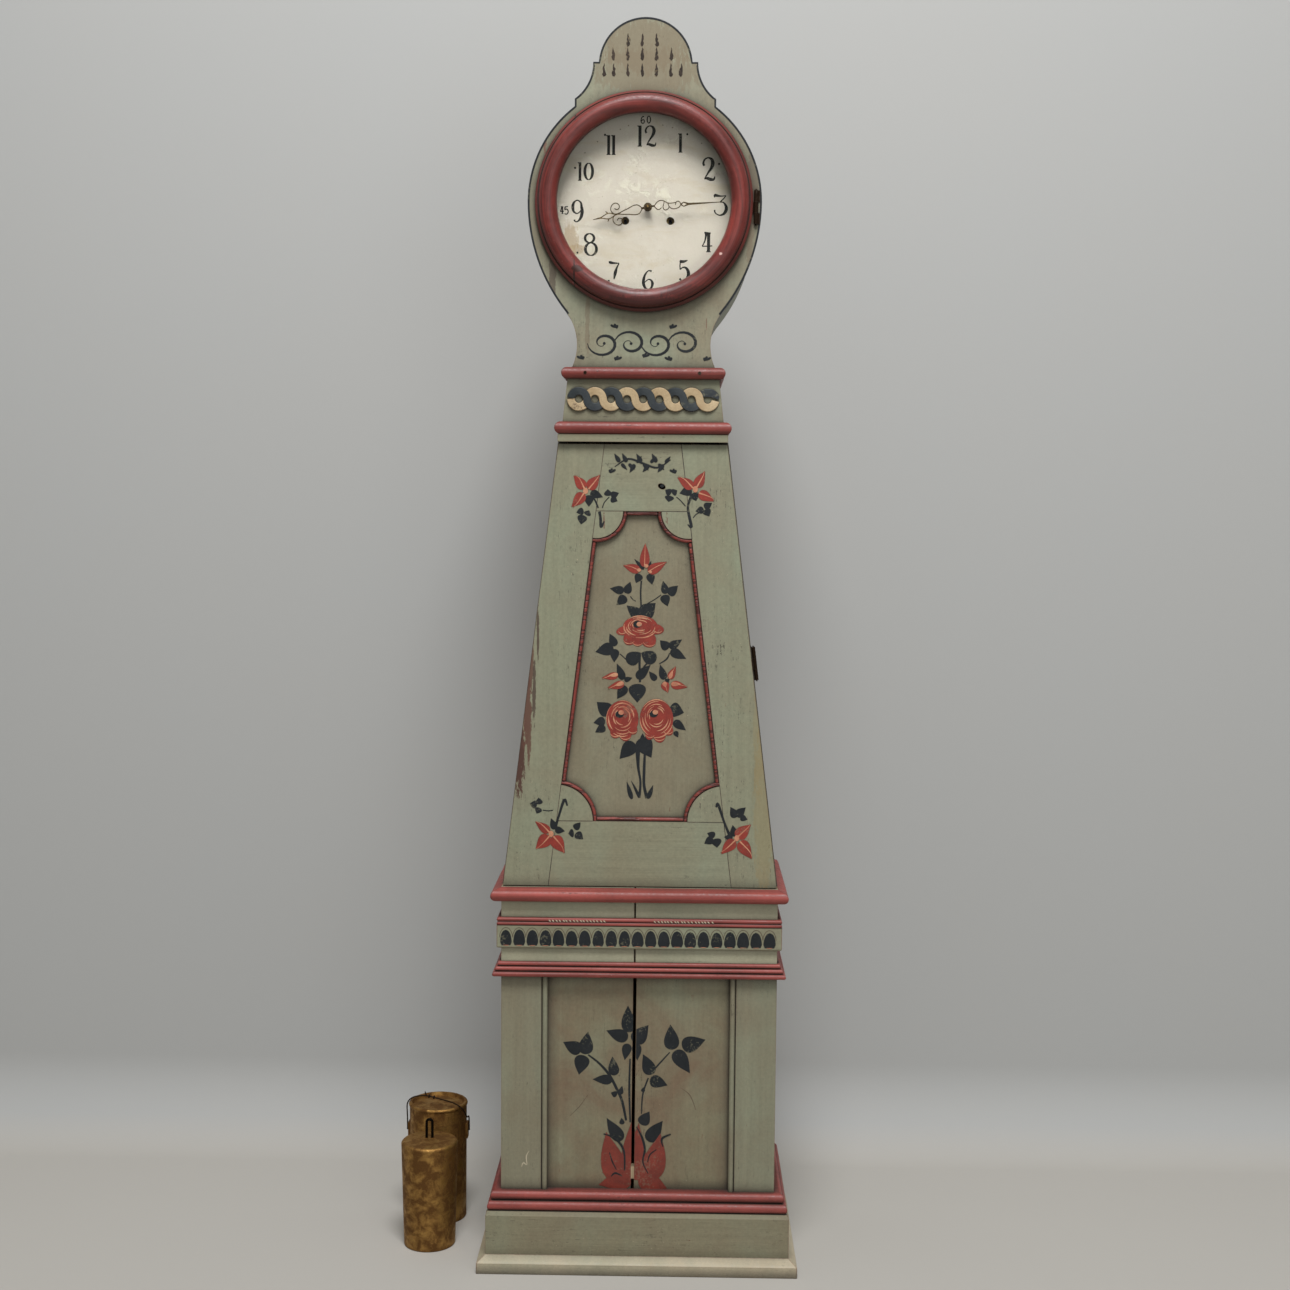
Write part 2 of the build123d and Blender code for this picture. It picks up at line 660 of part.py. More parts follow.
# Arbor places, across and up from the centre arbor.
CENTRE = (0.0, 0.0)
GREAT_DISTANCE = pitch_radius(GREAT_TEETH + LEAVES, GREAT_MODULE)
GREAT_ANGLE = -29.6
GREAT = polar(CENTRE, GREAT_DISTANCE, GREAT_ANGLE)
STRIKE = (-GREAT[0], GREAT[1])
THIRD_ANGLE = 75.0
THIRD = polar(CENTRE, pitch_radius(CENTRE_TEETH + LEAVES, CENTRE_MODULE), THIRD_ANGLE)
ESCAPE_DISTANCE = pitch_radius(THIRD_TEETH + FINE_LEAVES, THIRD_MODULE)
ESCAPE_ANGLE = degrees(acos(-THIRD[0] / ESCAPE_DISTANCE))
ESCAPE = polar(THIRD, ESCAPE_DISTANCE, ESCAPE_ANGLE)
ANCHOR = (0.0, ESCAPE[1] + ESCAPE_RADIUS * sqrt(2))
PIN_ANGLE = 100.0
PIN = polar(STRIKE, pitch_radius(STRIKE_TEETH + LEAVES, GREAT_MODULE), PIN_ANGLE)
FLY_ANGLE = 70.0
FLY = polar(PIN, pitch_radius(PIN_TEETH + FINE_LEAVES, PIN_MODULE), FLY_ANGLE)
HAMMER = (-60.0, 50.0)
MINUTE_ANGLE = 270.0
MOTION_DISTANCE = pitch_radius(LEAVES + MOTION_TEETH, MOTION_MODULE)
HOUR_MODULE = 2 * MOTION_DISTANCE / (HOUR_LEAVES + MOTION_TEETH)
MINUTE = polar(CENTRE, MOTION_DISTANCE, MINUTE_ANGLE)
BELL_Y = 64.0
BELL_RADIUS = 34.0
BELL_TOP = 1925.0


def place(arbor):
    """The arbor's X and Z in the clock."""
    return (MOVEMENT_X + arbor[0], MOVEMENT_Z + arbor[1])


def toothed(teeth, module, addendum, dedendum, root_share, tip_share, tooth_at):
    """A toothed outline with straight-sided teeth, one of them pointing at the angle tooth_at."""
    radius = pitch_radius(teeth, module)
    root, tip = radius - dedendum * module, radius + addendum * module
    pitch = 360 / teeth
    points = []
    for index in range(teeth):
        middle = tooth_at + index * pitch
        points.append(polar((0, 0), root, middle - root_share * pitch / 2))
        points.append(polar((0, 0), tip, middle - tip_share * pitch / 2))
        points.append(polar((0, 0), tip, middle + tip_share * pitch / 2))
        points.append(polar((0, 0), root, middle + root_share * pitch / 2))
    return polygon(*points)


def toothed_disc(teeth, module, tooth_at):
    """A wheel without crossings."""
    return toothed(teeth, module, 0.95, 1.25, 0.52, 0.2, tooth_at)


def crossed(face, rim, hub, bar):
    """Cut a wheel away to a rim, four spokes and a hub."""
    return face - (Circle(rim) - Circle(hub) - Rectangle(2 * rim, bar) - Rectangle(bar, 2 * rim))


def wheel_face(teeth, module, tooth_at, hub):
    rim = pitch_radius(teeth, module) - 3.6 * module
    return crossed(toothed_disc(teeth, module, tooth_at), rim, hub, max(2.4, rim * 0.13))


def pinion_face(leaves, module, gap_at):
    """A pinion with a space between two leaves at the angle gap_at."""
    return toothed(leaves, module, 0.75, 1.35, 0.4, 0.18, gap_at + 180 / leaves)


def at_arbor(arbor, face, y_front, y_back):
    x, z = place(arbor)
    return front_slab(Pos(x, z) * face, y_front, y_back)


def arbor_rod(arbor, radius, y_front=FRONT_PLATE + PLATE, y_back=BACK_PLATE):
    """A plain arbor between the plates, with a thin pivot at each end."""
    x, z = place(arbor)
    bar = rod(x, z, radius, y_front + 0.3, y_back - 0.3)
    return bar + rod(x, z, PIVOT, FRONT_PLATE, BACK_PLATE + PLATE)


def movement_frame():
    """Front and back plates, four pillars and the cock that carries the pendulum."""
    low, high = place((-PLATE_HALF, PLATE_FOOT)), place((PLATE_HALF, PLATE_HEAD))
    sheet = polygon(low, (high[0], low[1]), high, (low[0], high[1]))
    holes = [(arbor, PIVOT + PIVOT_PLAY) for arbor in (THIRD, ESCAPE, ANCHOR, PIN, FLY, HAMMER)]
    front_holes = [(CENTRE, 2.0 + PIVOT_PLAY), (GREAT, 3.06), (STRIKE, 3.06), (MINUTE, 1.26)]
    back_holes = [(CENTRE, PIVOT + PIVOT_PLAY), (GREAT, 1.56), (STRIKE, 1.56)]
    pieces = []
    for y_front, extra in ((FRONT_PLATE, front_holes), (BACK_PLATE, back_holes)):
        face = sheet
        for arbor, radius in holes + extra:
            face -= Pos(*place(arbor)) * Circle(radius)
        pieces += front_slab(face, y_front, y_front + PLATE).solids()
    for across in (-66, 66):
        for up in (-64, 77):
            pieces += rod(*place((across, up)), 4.0, FRONT_PLATE + PLATE, BACK_PLATE).solids()
    x, z = place(ANCHOR)
    cheek = block((7, 10), (BACK_PLATE + PLATE, PENDULUM_Y + 9), (z - 6, z))
    cock = Pos(x, 0, 0) * (cheek + mirror(cheek, about=Plane.YZ))
    for span in ((PENDULUM_Y - 10.5, PENDULUM_Y - 4.5), (PENDULUM_Y + 4.5, PENDULUM_Y + 9)):
        cock += block((x - 10, x + 10), span, (z - 6, z))
    cock -= rod(x, z, SUSPENSION_PIN + PIVOT_PLAY, BACK_PLATE + PLATE, PENDULUM_Y + 9)
    return pieces + cock.solids()


def barrel_train(arbor, teeth, tooth_at):
    """A line barrel with its great wheel, ratchet end and winding square."""
    x, z = place(arbor)
    front, back = BARREL_Y
    train = at_arbor(arbor, wheel_face(teeth, GREAT_MODULE, tooth_at, 12), 50.0, 52.5)
    train += rod(x, z, BARREL_RADIUS, front, back)
    train += rod(x, z, BARREL_RADIUS + 2.5, front - 1.5, front + 1.5)
    train += rod(x, z, BARREL_RADIUS + 2.5, back - 1.5, back + 0.3)
    train += rod(x, z, 3.0, FRONT_PLATE - 2, front)
    train += rod(x, z, 1.5, back, BACK_PLATE + PLATE)
    train += rod(x, z, 4.5, FRONT_PLATE + PLATE + 0.3, front)
    square = Pos(x, z) * Rectangle(4.2, 4.2)
    return train + front_slab(square, DIAL_FACE + DIAL_SHEET + 2, FRONT_PLATE - 2)


def great_wheel():
    return barrel_train(GREAT, GREAT_TEETH, GREAT_ANGLE + 180)


def strike_great_wheel():
    return barrel_train(STRIKE, STRIKE_TEETH, PIN_ANGLE)


def centre_wheel():
    """The arbor that turns once an hour, with the cannon in front of the plate."""
    arbor = arbor_rod(CENTRE, 2.0)
    arbor += at_arbor(CENTRE, pinion_face(LEAVES, GREAT_MODULE, GREAT_ANGLE), 49.0, 54.0)
    arbor += at_arbor(CENTRE, wheel_face(CENTRE_TEETH, CENTRE_MODULE, THIRD_ANGLE, 5), 97.0, 99.0)
    x, z = place(CENTRE)
    arbor += rod(x, z, 2.0, MINUTE_HAND_Y + HAND_SHEET + 0.6, FRONT_PLATE + PLATE + 1)
    arbor += rod(x, z, 1.4, MINUTE_HAND_Y - 3.0, MINUTE_HAND_Y + HAND_SHEET + 1)
    return arbor + at_arbor(CENTRE, pinion_face(LEAVES, MOTION_MODULE, MINUTE_ANGLE), 38.4, 40.6)


def third_wheel():
    arbor = arbor_rod(THIRD, 1.7)
    arbor += at_arbor(THIRD, pinion_face(LEAVES, CENTRE_MODULE, THIRD_ANGLE + 180), 95.8, 100.2)
    return arbor + at_arbor(THIRD, wheel_face(THIRD_TEETH, THIRD_MODULE, ESCAPE_ANGLE, 4.5), 88.0, 89.8)


def escape_wheel():
    """Thirty raked teeth, driven by a seven-leaf pinion."""
    pitch = 360 / ESCAPE_TEETH
    points = []
    for index in range(ESCAPE_TEETH):
        middle = 90 + pitch / 2 + index * pitch
        points.append(polar((0, 0), ESCAPE_RADIUS - 3.4, middle - pitch * 0.68))
        points.append(polar((0, 0), ESCAPE_RADIUS - 3.4, middle - pitch * 0.28))
        points.append(polar((0, 0), ESCAPE_RADIUS, middle))
    arbor = arbor_rod(ESCAPE, 1.6)
    arbor += at_arbor(ESCAPE, pinion_face(FINE_LEAVES, THIRD_MODULE, ESCAPE_ANGLE + 180), 86.8, 91.0)
    return arbor + at_arbor(ESCAPE, crossed(polygon(*points), ESCAPE_RADIUS - 5, 4, 2.2), 70.0, 71.6)


def anchor():
    """The recoil anchor, with the crutch that hangs from its arbor behind the back plate."""
    back = BACK_PLATE + PLATE
    bar = (back + 1.4, back + 3.2)
    tip = polar(ESCAPE, ESCAPE_RADIUS + 1.25, 45)
    half = [(5, 70.2), (14, 64.5), (17.5, 57), tip, (9.5, 60.5)]
    shape = polygon(*half, (0, 63.2), *[(-x, y) for x, y in reversed(half)])
    body = at_arbor((0, 0), shape, 69.0, 72.6)
    body += arbor_rod(ANCHOR, 1.7)
    x, z = place(ANCHOR)
    body += rod(x, z, PIVOT, BACK_PLATE, back + 3.5)
    body += rod(x, z, 2.6, back + 1.2, back + 3.5)
    body += block((x - 1, x + 1), bar, (z - CRUTCH, z))
    for side in (-6, 6):
        fork = (x + side - 1, x + side + 1)
        body += block(fork, (bar[0], PENDULUM_Y + 4), (z - CRUTCH, z - CRUTCH + 3))
    return body + block((x - 7, x + 7), bar, (z - CRUTCH, z - CRUTCH + 3))


def minute_wheel():
    """The wheel and pinion on a stud below the centre, which drive the hour wheel."""
    x, z = place(MINUTE)
    arbor = rod(x, z, 1.2, 33.0, FRONT_PLATE + PLATE)
    wheel = toothed_disc(MOTION_TEETH, MOTION_MODULE, MINUTE_ANGLE + 180)
    arbor += at_arbor(MINUTE, wheel, 38.6, 40.4)
    return arbor + at_arbor(MINUTE, pinion_face(HOUR_LEAVES, HOUR_MODULE, MINUTE_ANGLE + 180), 33.4, 36.6)


def hour_wheel():
    """The hour wheel on its pipe, which turns round the centre arbor."""
    x, z = place(CENTRE)
    wheel = at_arbor(CENTRE, toothed_disc(MOTION_TEETH, HOUR_MODULE, MINUTE_ANGLE), 34.0, 36.0)
    pipe = rod(x, z, HOUR_PIPE, HOUR_HAND_Y, 37.4)
    return wheel + pipe - rod(x, z, 2.0 + PIVOT_PLAY, HOUR_HAND_Y, 37.4)


def pin_wheel():
    """The strike's second wheel; its eight pins lift the hammer tail."""
    arbor = arbor_rod(PIN, 1.7)
    arbor += at_arbor(PIN, pinion_face(LEAVES, GREAT_MODULE, PIN_ANGLE + 180), 49.0, 54.0)
    arbor += at_arbor(PIN, toothed_disc(PIN_TEETH, PIN_MODULE, FLY_ANGLE), 97.0, 99.0)
    for index in range(LEAVES):
        pin = polar(PIN, 10.8, index * 45)
        arbor += rod(*place(pin), 0.8, 94.6, 97.2)
    return arbor


def fly():
    """The two-bladed fan that slows the strike."""
    arbor = arbor_rod(FLY, 1.5)
    arbor += at_arbor(FLY, pinion_face(FINE_LEAVES, PIN_MODULE, FLY_ANGLE + 180), 95.8, 100.2)
    x, z = place(FLY)
    return arbor + block((x - 12.5, x + 12.5), (62, 90), (z - 0.5, z + 0.5))


def hammer():
    """The bell hammer on its arbor, with the tail that the pins lift."""
    x, z = place(HAMMER)
    bell_edge = MOVEMENT_X - BELL_RADIUS
    head_z = BELL_TOP - 27
    arbor = arbor_rod(HAMMER, 1.7)
    arm = polygon((x - 1.4, z), (x + 1.4, z), (bell_edge - 8, head_z), (bell_edge - 10.8, head_z))
    arbor += front_slab(arm, BELL_Y - 1, BELL_Y + 1)
    arbor += Pos(bell_edge - 8.2, BELL_Y, head_z) * Rot(0, 90, 0) * Cylinder(5.0, 13)
    end_x, end_z = place(polar(PIN, 13.2, 120))
    tail = polygon((x - 1.2, z), (x + 1.2, z), (end_x + 1.0, end_z), (end_x - 0.6, end_z))
    return arbor + front_slab(tail, 94.8, 96.6)


def bell():
    """A cast bell above the plates, on a bent steel standard."""
    wall = 2.0
    rim_z = BELL_TOP - 30
    under = BELL_TOP - wall
    outer = [
        Line((0, BELL_TOP), (10, BELL_TOP)),
        ThreePointArc((10, BELL_TOP), (25, BELL_TOP - 9), (BELL_RADIUS, rim_z)),
        Line((BELL_RADIUS, rim_z), (BELL_RADIUS - wall, rim_z)),
        ThreePointArc((BELL_RADIUS - wall, rim_z), (23.4, under - 8.6), (10, under)),
        Line((10, under), (0, under)),
        Line((0, under), (0, BELL_TOP)),
    ]
    section = Plane.XZ * make_face(outer)
    cup = Pos(MOVEMENT_X, BELL_Y, 0) * revolve(section, axis=Axis.Z)
    back = BACK_PLATE + PLATE
    stand = block((MOVEMENT_X + 12, MOVEMENT_X + 20), (back, back + 3), (MOVEMENT_Z + 60, BELL_TOP + 3))
    stand += block((MOVEMENT_X - 4, MOVEMENT_X + 20), (BELL_Y - 4, back + 3), (BELL_TOP, BELL_TOP + 3))
    return [*cup.solids(), *stand.solids()]


def dial():
    """The painted sheet-iron dial on four feet."""
    x, z = MOVEMENT_X, MOVEMENT_Z
    face = Pos(x, z) * Circle(DIAL_RADIUS) - Pos(x, z) * Circle(4.4)
    for arbor in (GREAT, STRIKE):
        face -= Pos(*place(arbor)) * Circle(6.5)
    plate = front_slab(face, DIAL_FACE, DIAL_FACE + DIAL_SHEET)
    for across in (-60, 60):
        for up in (-56, 72):
            plate += rod(*place((across, up)), 2.4, DIAL_FACE + DIAL_SHEET, FRONT_PLATE)
    return plate


# ---- Hands --------------------------------------------------------------------------------------------


# Centre lines of the ribbons that a hand is filed out of, as (along, across) from its arbor.
HOUR_RIBBON = 1.5
HOUR_PEAR = ((10, 1.2), (12.5, 4.2), (15.5, 6.8), (19.5, 7.7), (26, 6.7), (34, 4.3), (41, 2.8), (46, 1.2))
HOUR_SCROLL = (
    *((45.5, 1.2), (50, 0.6), (55, 1.0), (59, 4.2), (60.2, 8.6), (58.6, 13.6), (55, 17.0)),
    *((50.4, 17.9), (46.4, 15.3), (45.2, 11.2), (47.4, 7.8), (50.8, 7.4), (53.2, 10.2)),
)
HOUR_LEAF = ((54, 0.5), (58, 2.0), (62, 3.8), (66, 4.4), (70, 3.6), (74, 2.2), (79, 0.6))
HOUR_BARB = ((64.4, 4.0), (67.2, 3.8), (69.4, 8.3), (68.4, 8.9))
MINUTE_RIBBON = 1.4
MINUTE_SCROLLS = (
    ((10, 0.4), (13.2, 3.4), (16.2, 6.5), (21.9, 8.3), (27.4, 6.8), (31.9, 3.9), (38.4, 3.0), (46.6, 3.7)),
    ((10, -0.4), (13.4, -4.0), (16.4, -6.0), (20.2, -5.0), (22.2, -3.1)),
    ((26.6, 7.0), (25.6, 0.4), (24.8, -3.6), (27.5, -7.2), (32.0, -6.4), (34.4, -2.2)),
    (
        *((33.0, 3.4), (34.2, -0.8), (36.3, -4.0), (41.5, -6.3), (47.2, -5.7), (51.8, -3.4)),
        *((53.6, 0.7), (51.6, 4.6), (48.4, 5.4), (46.3, 3.4), (45.4, -0.4)),
    ),
)
MINUTE_EYE = ((53, 0.9), (58.8, 4.2), (66, 1.9))
MINUTE_EYE_HOLE = ((55.6, 0), (58.8, 2.5), (63.4, 0))
MINUTE_BLADE = ((64, 1.8), (84, 1.3), (105, 0.8), (MINUTE_HAND, 0.4))


def ribbon(points, width, side=1):
    """A curved band of one width about a centre line, or about its mirror image across the stem."""
    return trace(Spline(*((along, side * across) for along, across in points)), width)


def two_sided(half):
    """The outline whose upper edge is given, closed by its mirror image across the stem."""
    lower = [(along, -across) for along, across in reversed(half) if across]
    return polygon(*half, *lower)


def hour_hand():
    """A pierced hand: a boss, an open pear, a pair of scrolls and a barbed leaf."""
    face = Circle(7.0) + Rectangle(11.5, 3.6, align=(Align.MIN, Align.CENTER))
    for side in (-1, 1):
        for points in (HOUR_PEAR, HOUR_SCROLL, HOUR_LEAF):
            face += ribbon(points, HOUR_RIBBON, side)
        face += polygon(*((along, side * across) for along, across in HOUR_BARB))
    face += two_sided(((76.5, 1.5), (HOUR_HAND, 0.4)))
    face -= Circle(HOUR_PIPE)
    turned = Rot(0, 0, HOUR_HAND_ANGLE) * face
    return at_arbor(CENTRE, turned, HOUR_HAND_Y, HOUR_HAND_Y + HAND_SHEET)


def minute_hand():
    """A longer hand of scrolls and an open eye that ends in a blade, and the domed nut that holds it."""
    face = Circle(6.0) + Rectangle(11.5, 3.0, align=(Align.MIN, Align.CENTER))
    for points in MINUTE_SCROLLS:
        face += ribbon(points, MINUTE_RIBBON)
    face += two_sided(MINUTE_EYE) - two_sided(MINUTE_EYE_HOLE)
    face += two_sided(MINUTE_BLADE)
    face -= Circle(1.4)
    turned = Rot(0, 0, MINUTE_HAND_ANGLE) * face
    hand = at_arbor(CENTRE, turned, MINUTE_HAND_Y, MINUTE_HAND_Y + HAND_SHEET)
    dome = make_face(
        [
            Line((1.4, 0), (4.6, 0)),
            ThreePointArc((4.6, 0), (3.6, -2.2), (1.4, -2.9)),
            Line((1.4, -2.9), (1.4, 0)),
        ]
    )
    x, z = place(CENTRE)
    nut = Pos(x, MINUTE_HAND_Y, z) * revolve(dome, axis=Axis.Y)
    return [*hand.solids(), *nut.solids()]


# ---- Seat, pendulum and lines -------------------------------------------------------------------------

SEAT_TOP = MOVEMENT_Z + PLATE_FOOT
SEAT_FOOT = SEAT_TOP - SEAT_BOARD
LINE_OUT = BARREL_RADIUS + LINE_RADIUS + 0.05
LINES = (MOVEMENT_X + STRIKE[0] - LINE_OUT, MOVEMENT_X + GREAT[0] + LINE_OUT)
LINE_HEAD = MOVEMENT_Z + GREAT[1]


def seat_posts():
    """Two uprights against the backboard that carry the seat board through the neck."""
    return both_sides(block((78, 94), (120, BACKBOARD_Y), (1290, SEAT_FOOT)))


def seat_board():
    board = block((-98, 98), (30, BACKBOARD_Y), (SEAT_FOOT, SEAT_TOP))
    through = (SEAT_FOOT, SEAT_TOP)
    board -= block((MOVEMENT_X - 24, MOVEMENT_X + 24), (PENDULUM_Y - 12, PENDULUM_Y + 14), through)
    for x in LINES:
        board -= block((x - 7, x + 7), (LINE_Y - 9, LINE_Y + 9), through)
    return board


PENDULUM_Z = MOVEMENT_Z + ANCHOR[1]
BOB_Z = PENDULUM_Z - PENDULUM_LENGTH


def pendulum_rod():
    """A flat wooden rod on a strip and a round pin, with its rating screw and nut below."""
    x, y = MOVEMENT_X, PENDULUM_Y
    spring = block((x - 0.6, x + 0.6), (y - 3, y + 3), (PENDULUM_Z - 16, PENDULUM_Z))
    pin = rod(x, PENDULUM_Z, SUSPENSION_PIN, y - 10, y + 8.5)
    lath = block((x - 4.5, x + 4.5), (y - 2, y + 2), (BOB_Z + 66, PENDULUM_Z - 14))
    hanger = block((x - 3.5, x + 3.5), (y - 1.5, y + 1.5), (BOB_Z - 62, BOB_Z + 66))
    screw = Pos(x, y, BOB_Z - 72) * Cylinder(1.5, 22)
    nut = Pos(x, y, BOB_Z - 66) * Cylinder(7.0, 5)
    return spring + pin + lath + hanger + screw + nut


def pendulum_bob():
    """A lens-shaped bob, bored for the rod."""
    half = BOB_THICKNESS / 2
    edges = [
        Line((0, -half), (0, half)),
        ThreePointArc((0, half), (BOB_RADIUS * 0.72, half * 0.5), (BOB_RADIUS, 1)),
        Line((BOB_RADIUS, 1), (BOB_RADIUS, -1)),
        ThreePointArc((BOB_RADIUS, -1), (BOB_RADIUS * 0.72, -half * 0.5), (0, -half)),
    ]
    lens = Pos(MOVEMENT_X, PENDULUM_Y, BOB_Z) * revolve(make_face(edges), axis=Axis.Y)
    x, y = MOVEMENT_X, PENDULUM_Y
    return lens - block((x - 3.6, x + 3.6), (y - 1.6, y + 1.6), (BOB_Z - 62, BOB_Z + 62))


def weight_line(x):
    """The gut line from its barrel down to the hook."""
    return Pos(x, LINE_Y, (LINE_FOOT + LINE_HEAD) / 2) * Cylinder(LINE_RADIUS, LINE_HEAD - LINE_FOOT)


def line_hook(x):
    """An iron hook, open to one side, that a weight hangs from."""
    wire = 1.8
    top = LINE_FOOT - 2
    bend = 9.0
    shank = Line((0, top), (0, top - 20))
    round_part = ThreePointArc((0, top - 20), (bend, top - 20 - bend), (2 * bend, top - 20))
    path = Plane(origin=(x, LINE_Y, 0), x_dir=(1, 0, 0), z_dir=(0, -1, 0)) * (shank + round_part)
    section = Plane(origin=(x, LINE_Y, top), z_dir=(0, 0, -1)) * Circle(wire)
    hook = sweep(section, path=path)
    return hook + Pos(x, LINE_Y, LINE_FOOT - 1.5) * Cylinder(3.0, 3)


# ---- Weights on the floor -----------------------------------------------------------------------------


def front_weight():
    """A tapering iron weight with a staple in its top."""
    edges = [
        Line((0, 0), (42.5, 0)),
        ThreePointArc((42.5, 0), (44.0, 0.7), (44.6, 2.2)),
        Line((44.6, 2.2), (49.0, 178)),
        ThreePointArc((49.0, 178), (48.0, 182.5), (44.5, 184.5)),
        Line((44.5, 184.5), (0, 188)),
        Line((0, 188), (0, 0)),
    ]
    x, y = FRONT_WEIGHT
    body = Pos(x, y, 0) * revolve(Plane.XZ * make_face(edges), axis=Axis.Z)
    half, foot, bend = 5.0, 176, 216
    path = (
        Line((-half, foot), (-half, bend))
        + ThreePointArc((-half, bend), (0, bend + half), (half, bend))
        + Line((half, bend), (half, foot))
    )
    placed = Plane(origin=(x, y, 0), x_dir=(1, 0, 0), z_dir=(0, -1, 0)) * path
    staple = sweep(Plane(origin=placed @ 0, z_dir=(0, 0, 1)) * Circle(STAPLE_WIRE), path=placed)
    return [*(body - staple).solids(), *staple.solids()]


def rear_weight():
    """A straight can with a rolled rim and a seam band, the heavier of the two."""
    edges = [
        Line((0, 0), (49.5, 0)),
        Line((49.5, 0), (50.5, 1.5)),
        Line((50.5, 1.5), (51.5, 206)),
        ThreePointArc((51.5, 206), (53.0, 209.5), (50.5, 212.5)),
        Line((50.5, 212.5), (47.5, 212.5)),
        Line((47.5, 212.5), (45.5, 207)),
        Line((45.5, 207), (0, 208.5)),
        Line((0, 208.5), (0, 0)),
    ]
    x, y = REAR_WEIGHT
    can = Pos(x, y, 0) * revolve(Plane.XZ * make_face(edges), axis=Axis.Z)
    lug = block((50.0, 54.2), (-9, 9), (LUG_Z - 14, LUG_Z + 14)) - Pos(0, 0, LUG_Z) * Cylinder(50.9, 60)
    lug -= Pos(52, 0, LUG_Z) * Rot(0, 90, 0) * Cylinder(WIRE + 0.05, 12)
    hole = Pos(50, 0, LUG_Z) * Rot(0, 90, 0) * Cylinder(WIRE + 0.05, 9)
    for side in (0, 180):
        turn = Pos(x, y, 0) * Rot(0, 0, side)
        can = can + turn * lug
        can -= turn * hole
    return can


def weight_wire():
    """The handle: one wire from lug to lug over the rim, wound on itself in a knot on the left."""
    x, y = REAR_WEIGHT
    over = [
        (-56.2, 0, LUG_Z),
        (-56.8, -1, 195),
        (-55.6, -3, 209),
        (-49.0, -5, 218),
        (-36.0, -6, 223),
        (-14.0, -9, 223.5),
        (10.0, -15, 219.5),
        (38.0, -31, 216.2),
        (47.5, -36, 211),
        (55.0, -24, 192),
        (56.2, 0, LUG_Z),
    ]
    path = Spline(*over, tangents=[(0, 0, 1), (0, 0, -1)])
    wire = sweep(Plane(origin=path @ 0, z_dir=path % 0) * Circle(WIRE), path=path)
    for side in (-1, 1):
        wire += Pos(side * 56.2, 0, LUG_Z) * Sphere(WIRE * 1.2)
        wire += Pos(side * 52.8, 0, LUG_Z) * Rot(0, 90, 0) * Cylinder(WIRE, 6.8)
    for share in (0.40, 0.44):
        along = path % share
        wire += Plane(origin=path @ share, z_dir=along) * Torus(2.2, WIRE)
    end = path @ 0.38
    wire += Pos(end.X - 1.5, end.Y, end.Z + 4) * Rot(0, -20, 0) * Cylinder(WIRE * 0.9, 8)
    return Pos(x, y, 0) * wire


# ---- Files --------------------------------------------------------------------------------------------

NODES = {
    "base_front_left": lambda: base_front(0),
    "base_front_right": lambda: base_front(1),
    "base_crack_plug": base_crack_plug,
    "base_sides": base_sides,
    "base_pilasters": base_pilasters,
    "plinth_boards": plinth_boards,
    "skirting": skirting,
    "plinth_moulding": plinth_moulding,
    "base_moulding": base_moulding,
    "waist_facings": waist_facings,
    "lunette_frieze": lunette_frieze,
    "reeded_band": reeded_band,
    "waist_cornice": waist_cornice,
    "trunk_sides": trunk_sides,
    "backboard": backboard,
    "seat_posts": seat_posts,
    "seat_board": seat_board,
    "trunk_hinge_fixed": trunk_hinge_fixed,
    "door_stiles": door_stiles,
    "door_top_rail": door_top_rail,
    "door_foot_rail": lambda: door_rail(DOOR_FOOT, OPENING_FOOT),
    "door_panel": door_panel,
    "door_brackets": door_brackets,
    "door_beads": door_beads,
    "trunk_hinge_moving": trunk_hinge_moving,
    "head_board": head_board,
    "head_shell": head_shell,
    "upper_roll": upper_roll,
    "collar_boards": collar_boards,
    "guilloche": guilloche,
    "lower_roll": lower_roll,
    "bezel_hinge_fixed": bezel_hinge_fixed,
    "bezel_ring": bezel_ring,
    "bezel_glass": bezel_glass,
    "bezel_hinge_moving": bezel_hinge_moving,
    "movement_frame": movement_frame,
    "dial": dial,
    "bell": bell,
    "great_wheel": great_wheel,
    "centre_wheel": centre_wheel,
    "third_wheel": third_wheel,
    "escape_wheel": escape_wheel,
    "anchor": anchor,
    "minute_wheel": minute_wheel,
    "hour_wheel": hour_wheel,
    "hour_hand": hour_hand,
    "minute_hand": minute_hand,
    "strike_great_wheel": strike_great_wheel,
    "pin_wheel": pin_wheel,
    "fly": fly,
    "hammer": hammer,
    "pendulum_rod": pendulum_rod,
    "pendulum_bob": pendulum_bob,
    "strike_line": lambda: weight_line(LINES[0]),
    "strike_hook": lambda: line_hook(LINES[0]),
    "going_line": lambda: weight_line(LINES[1]),
    "going_hook": lambda: line_hook(LINES[1]),
    "front_weight": front_weight,
    "rear_weight": rear_weight,
    "weight_wire": weight_wire,
}

os.makedirs("parts", exist_ok=True)
for name, make in NODES.items():
    shape = make()
    solids = shape if isinstance(shape, list) else shape.solids()
    whole = solids[0] if len(solids) == 1 else Compound(children=list(solids))
    export_step(whole, f"parts/{name}.step")
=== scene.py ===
# %% [markdown]
# # A painted long-case clock
# A country clock case of pine boards: a square base, a trunk that narrows upwards, and a round-headed hood.
# It was painted grey-green with brick-red mouldings, then flowers were added freehand. The solids come from
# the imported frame. This file gives them their timber, paint and metal, and adds what a painter or a carver
# put on top.
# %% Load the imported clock
import math
import random

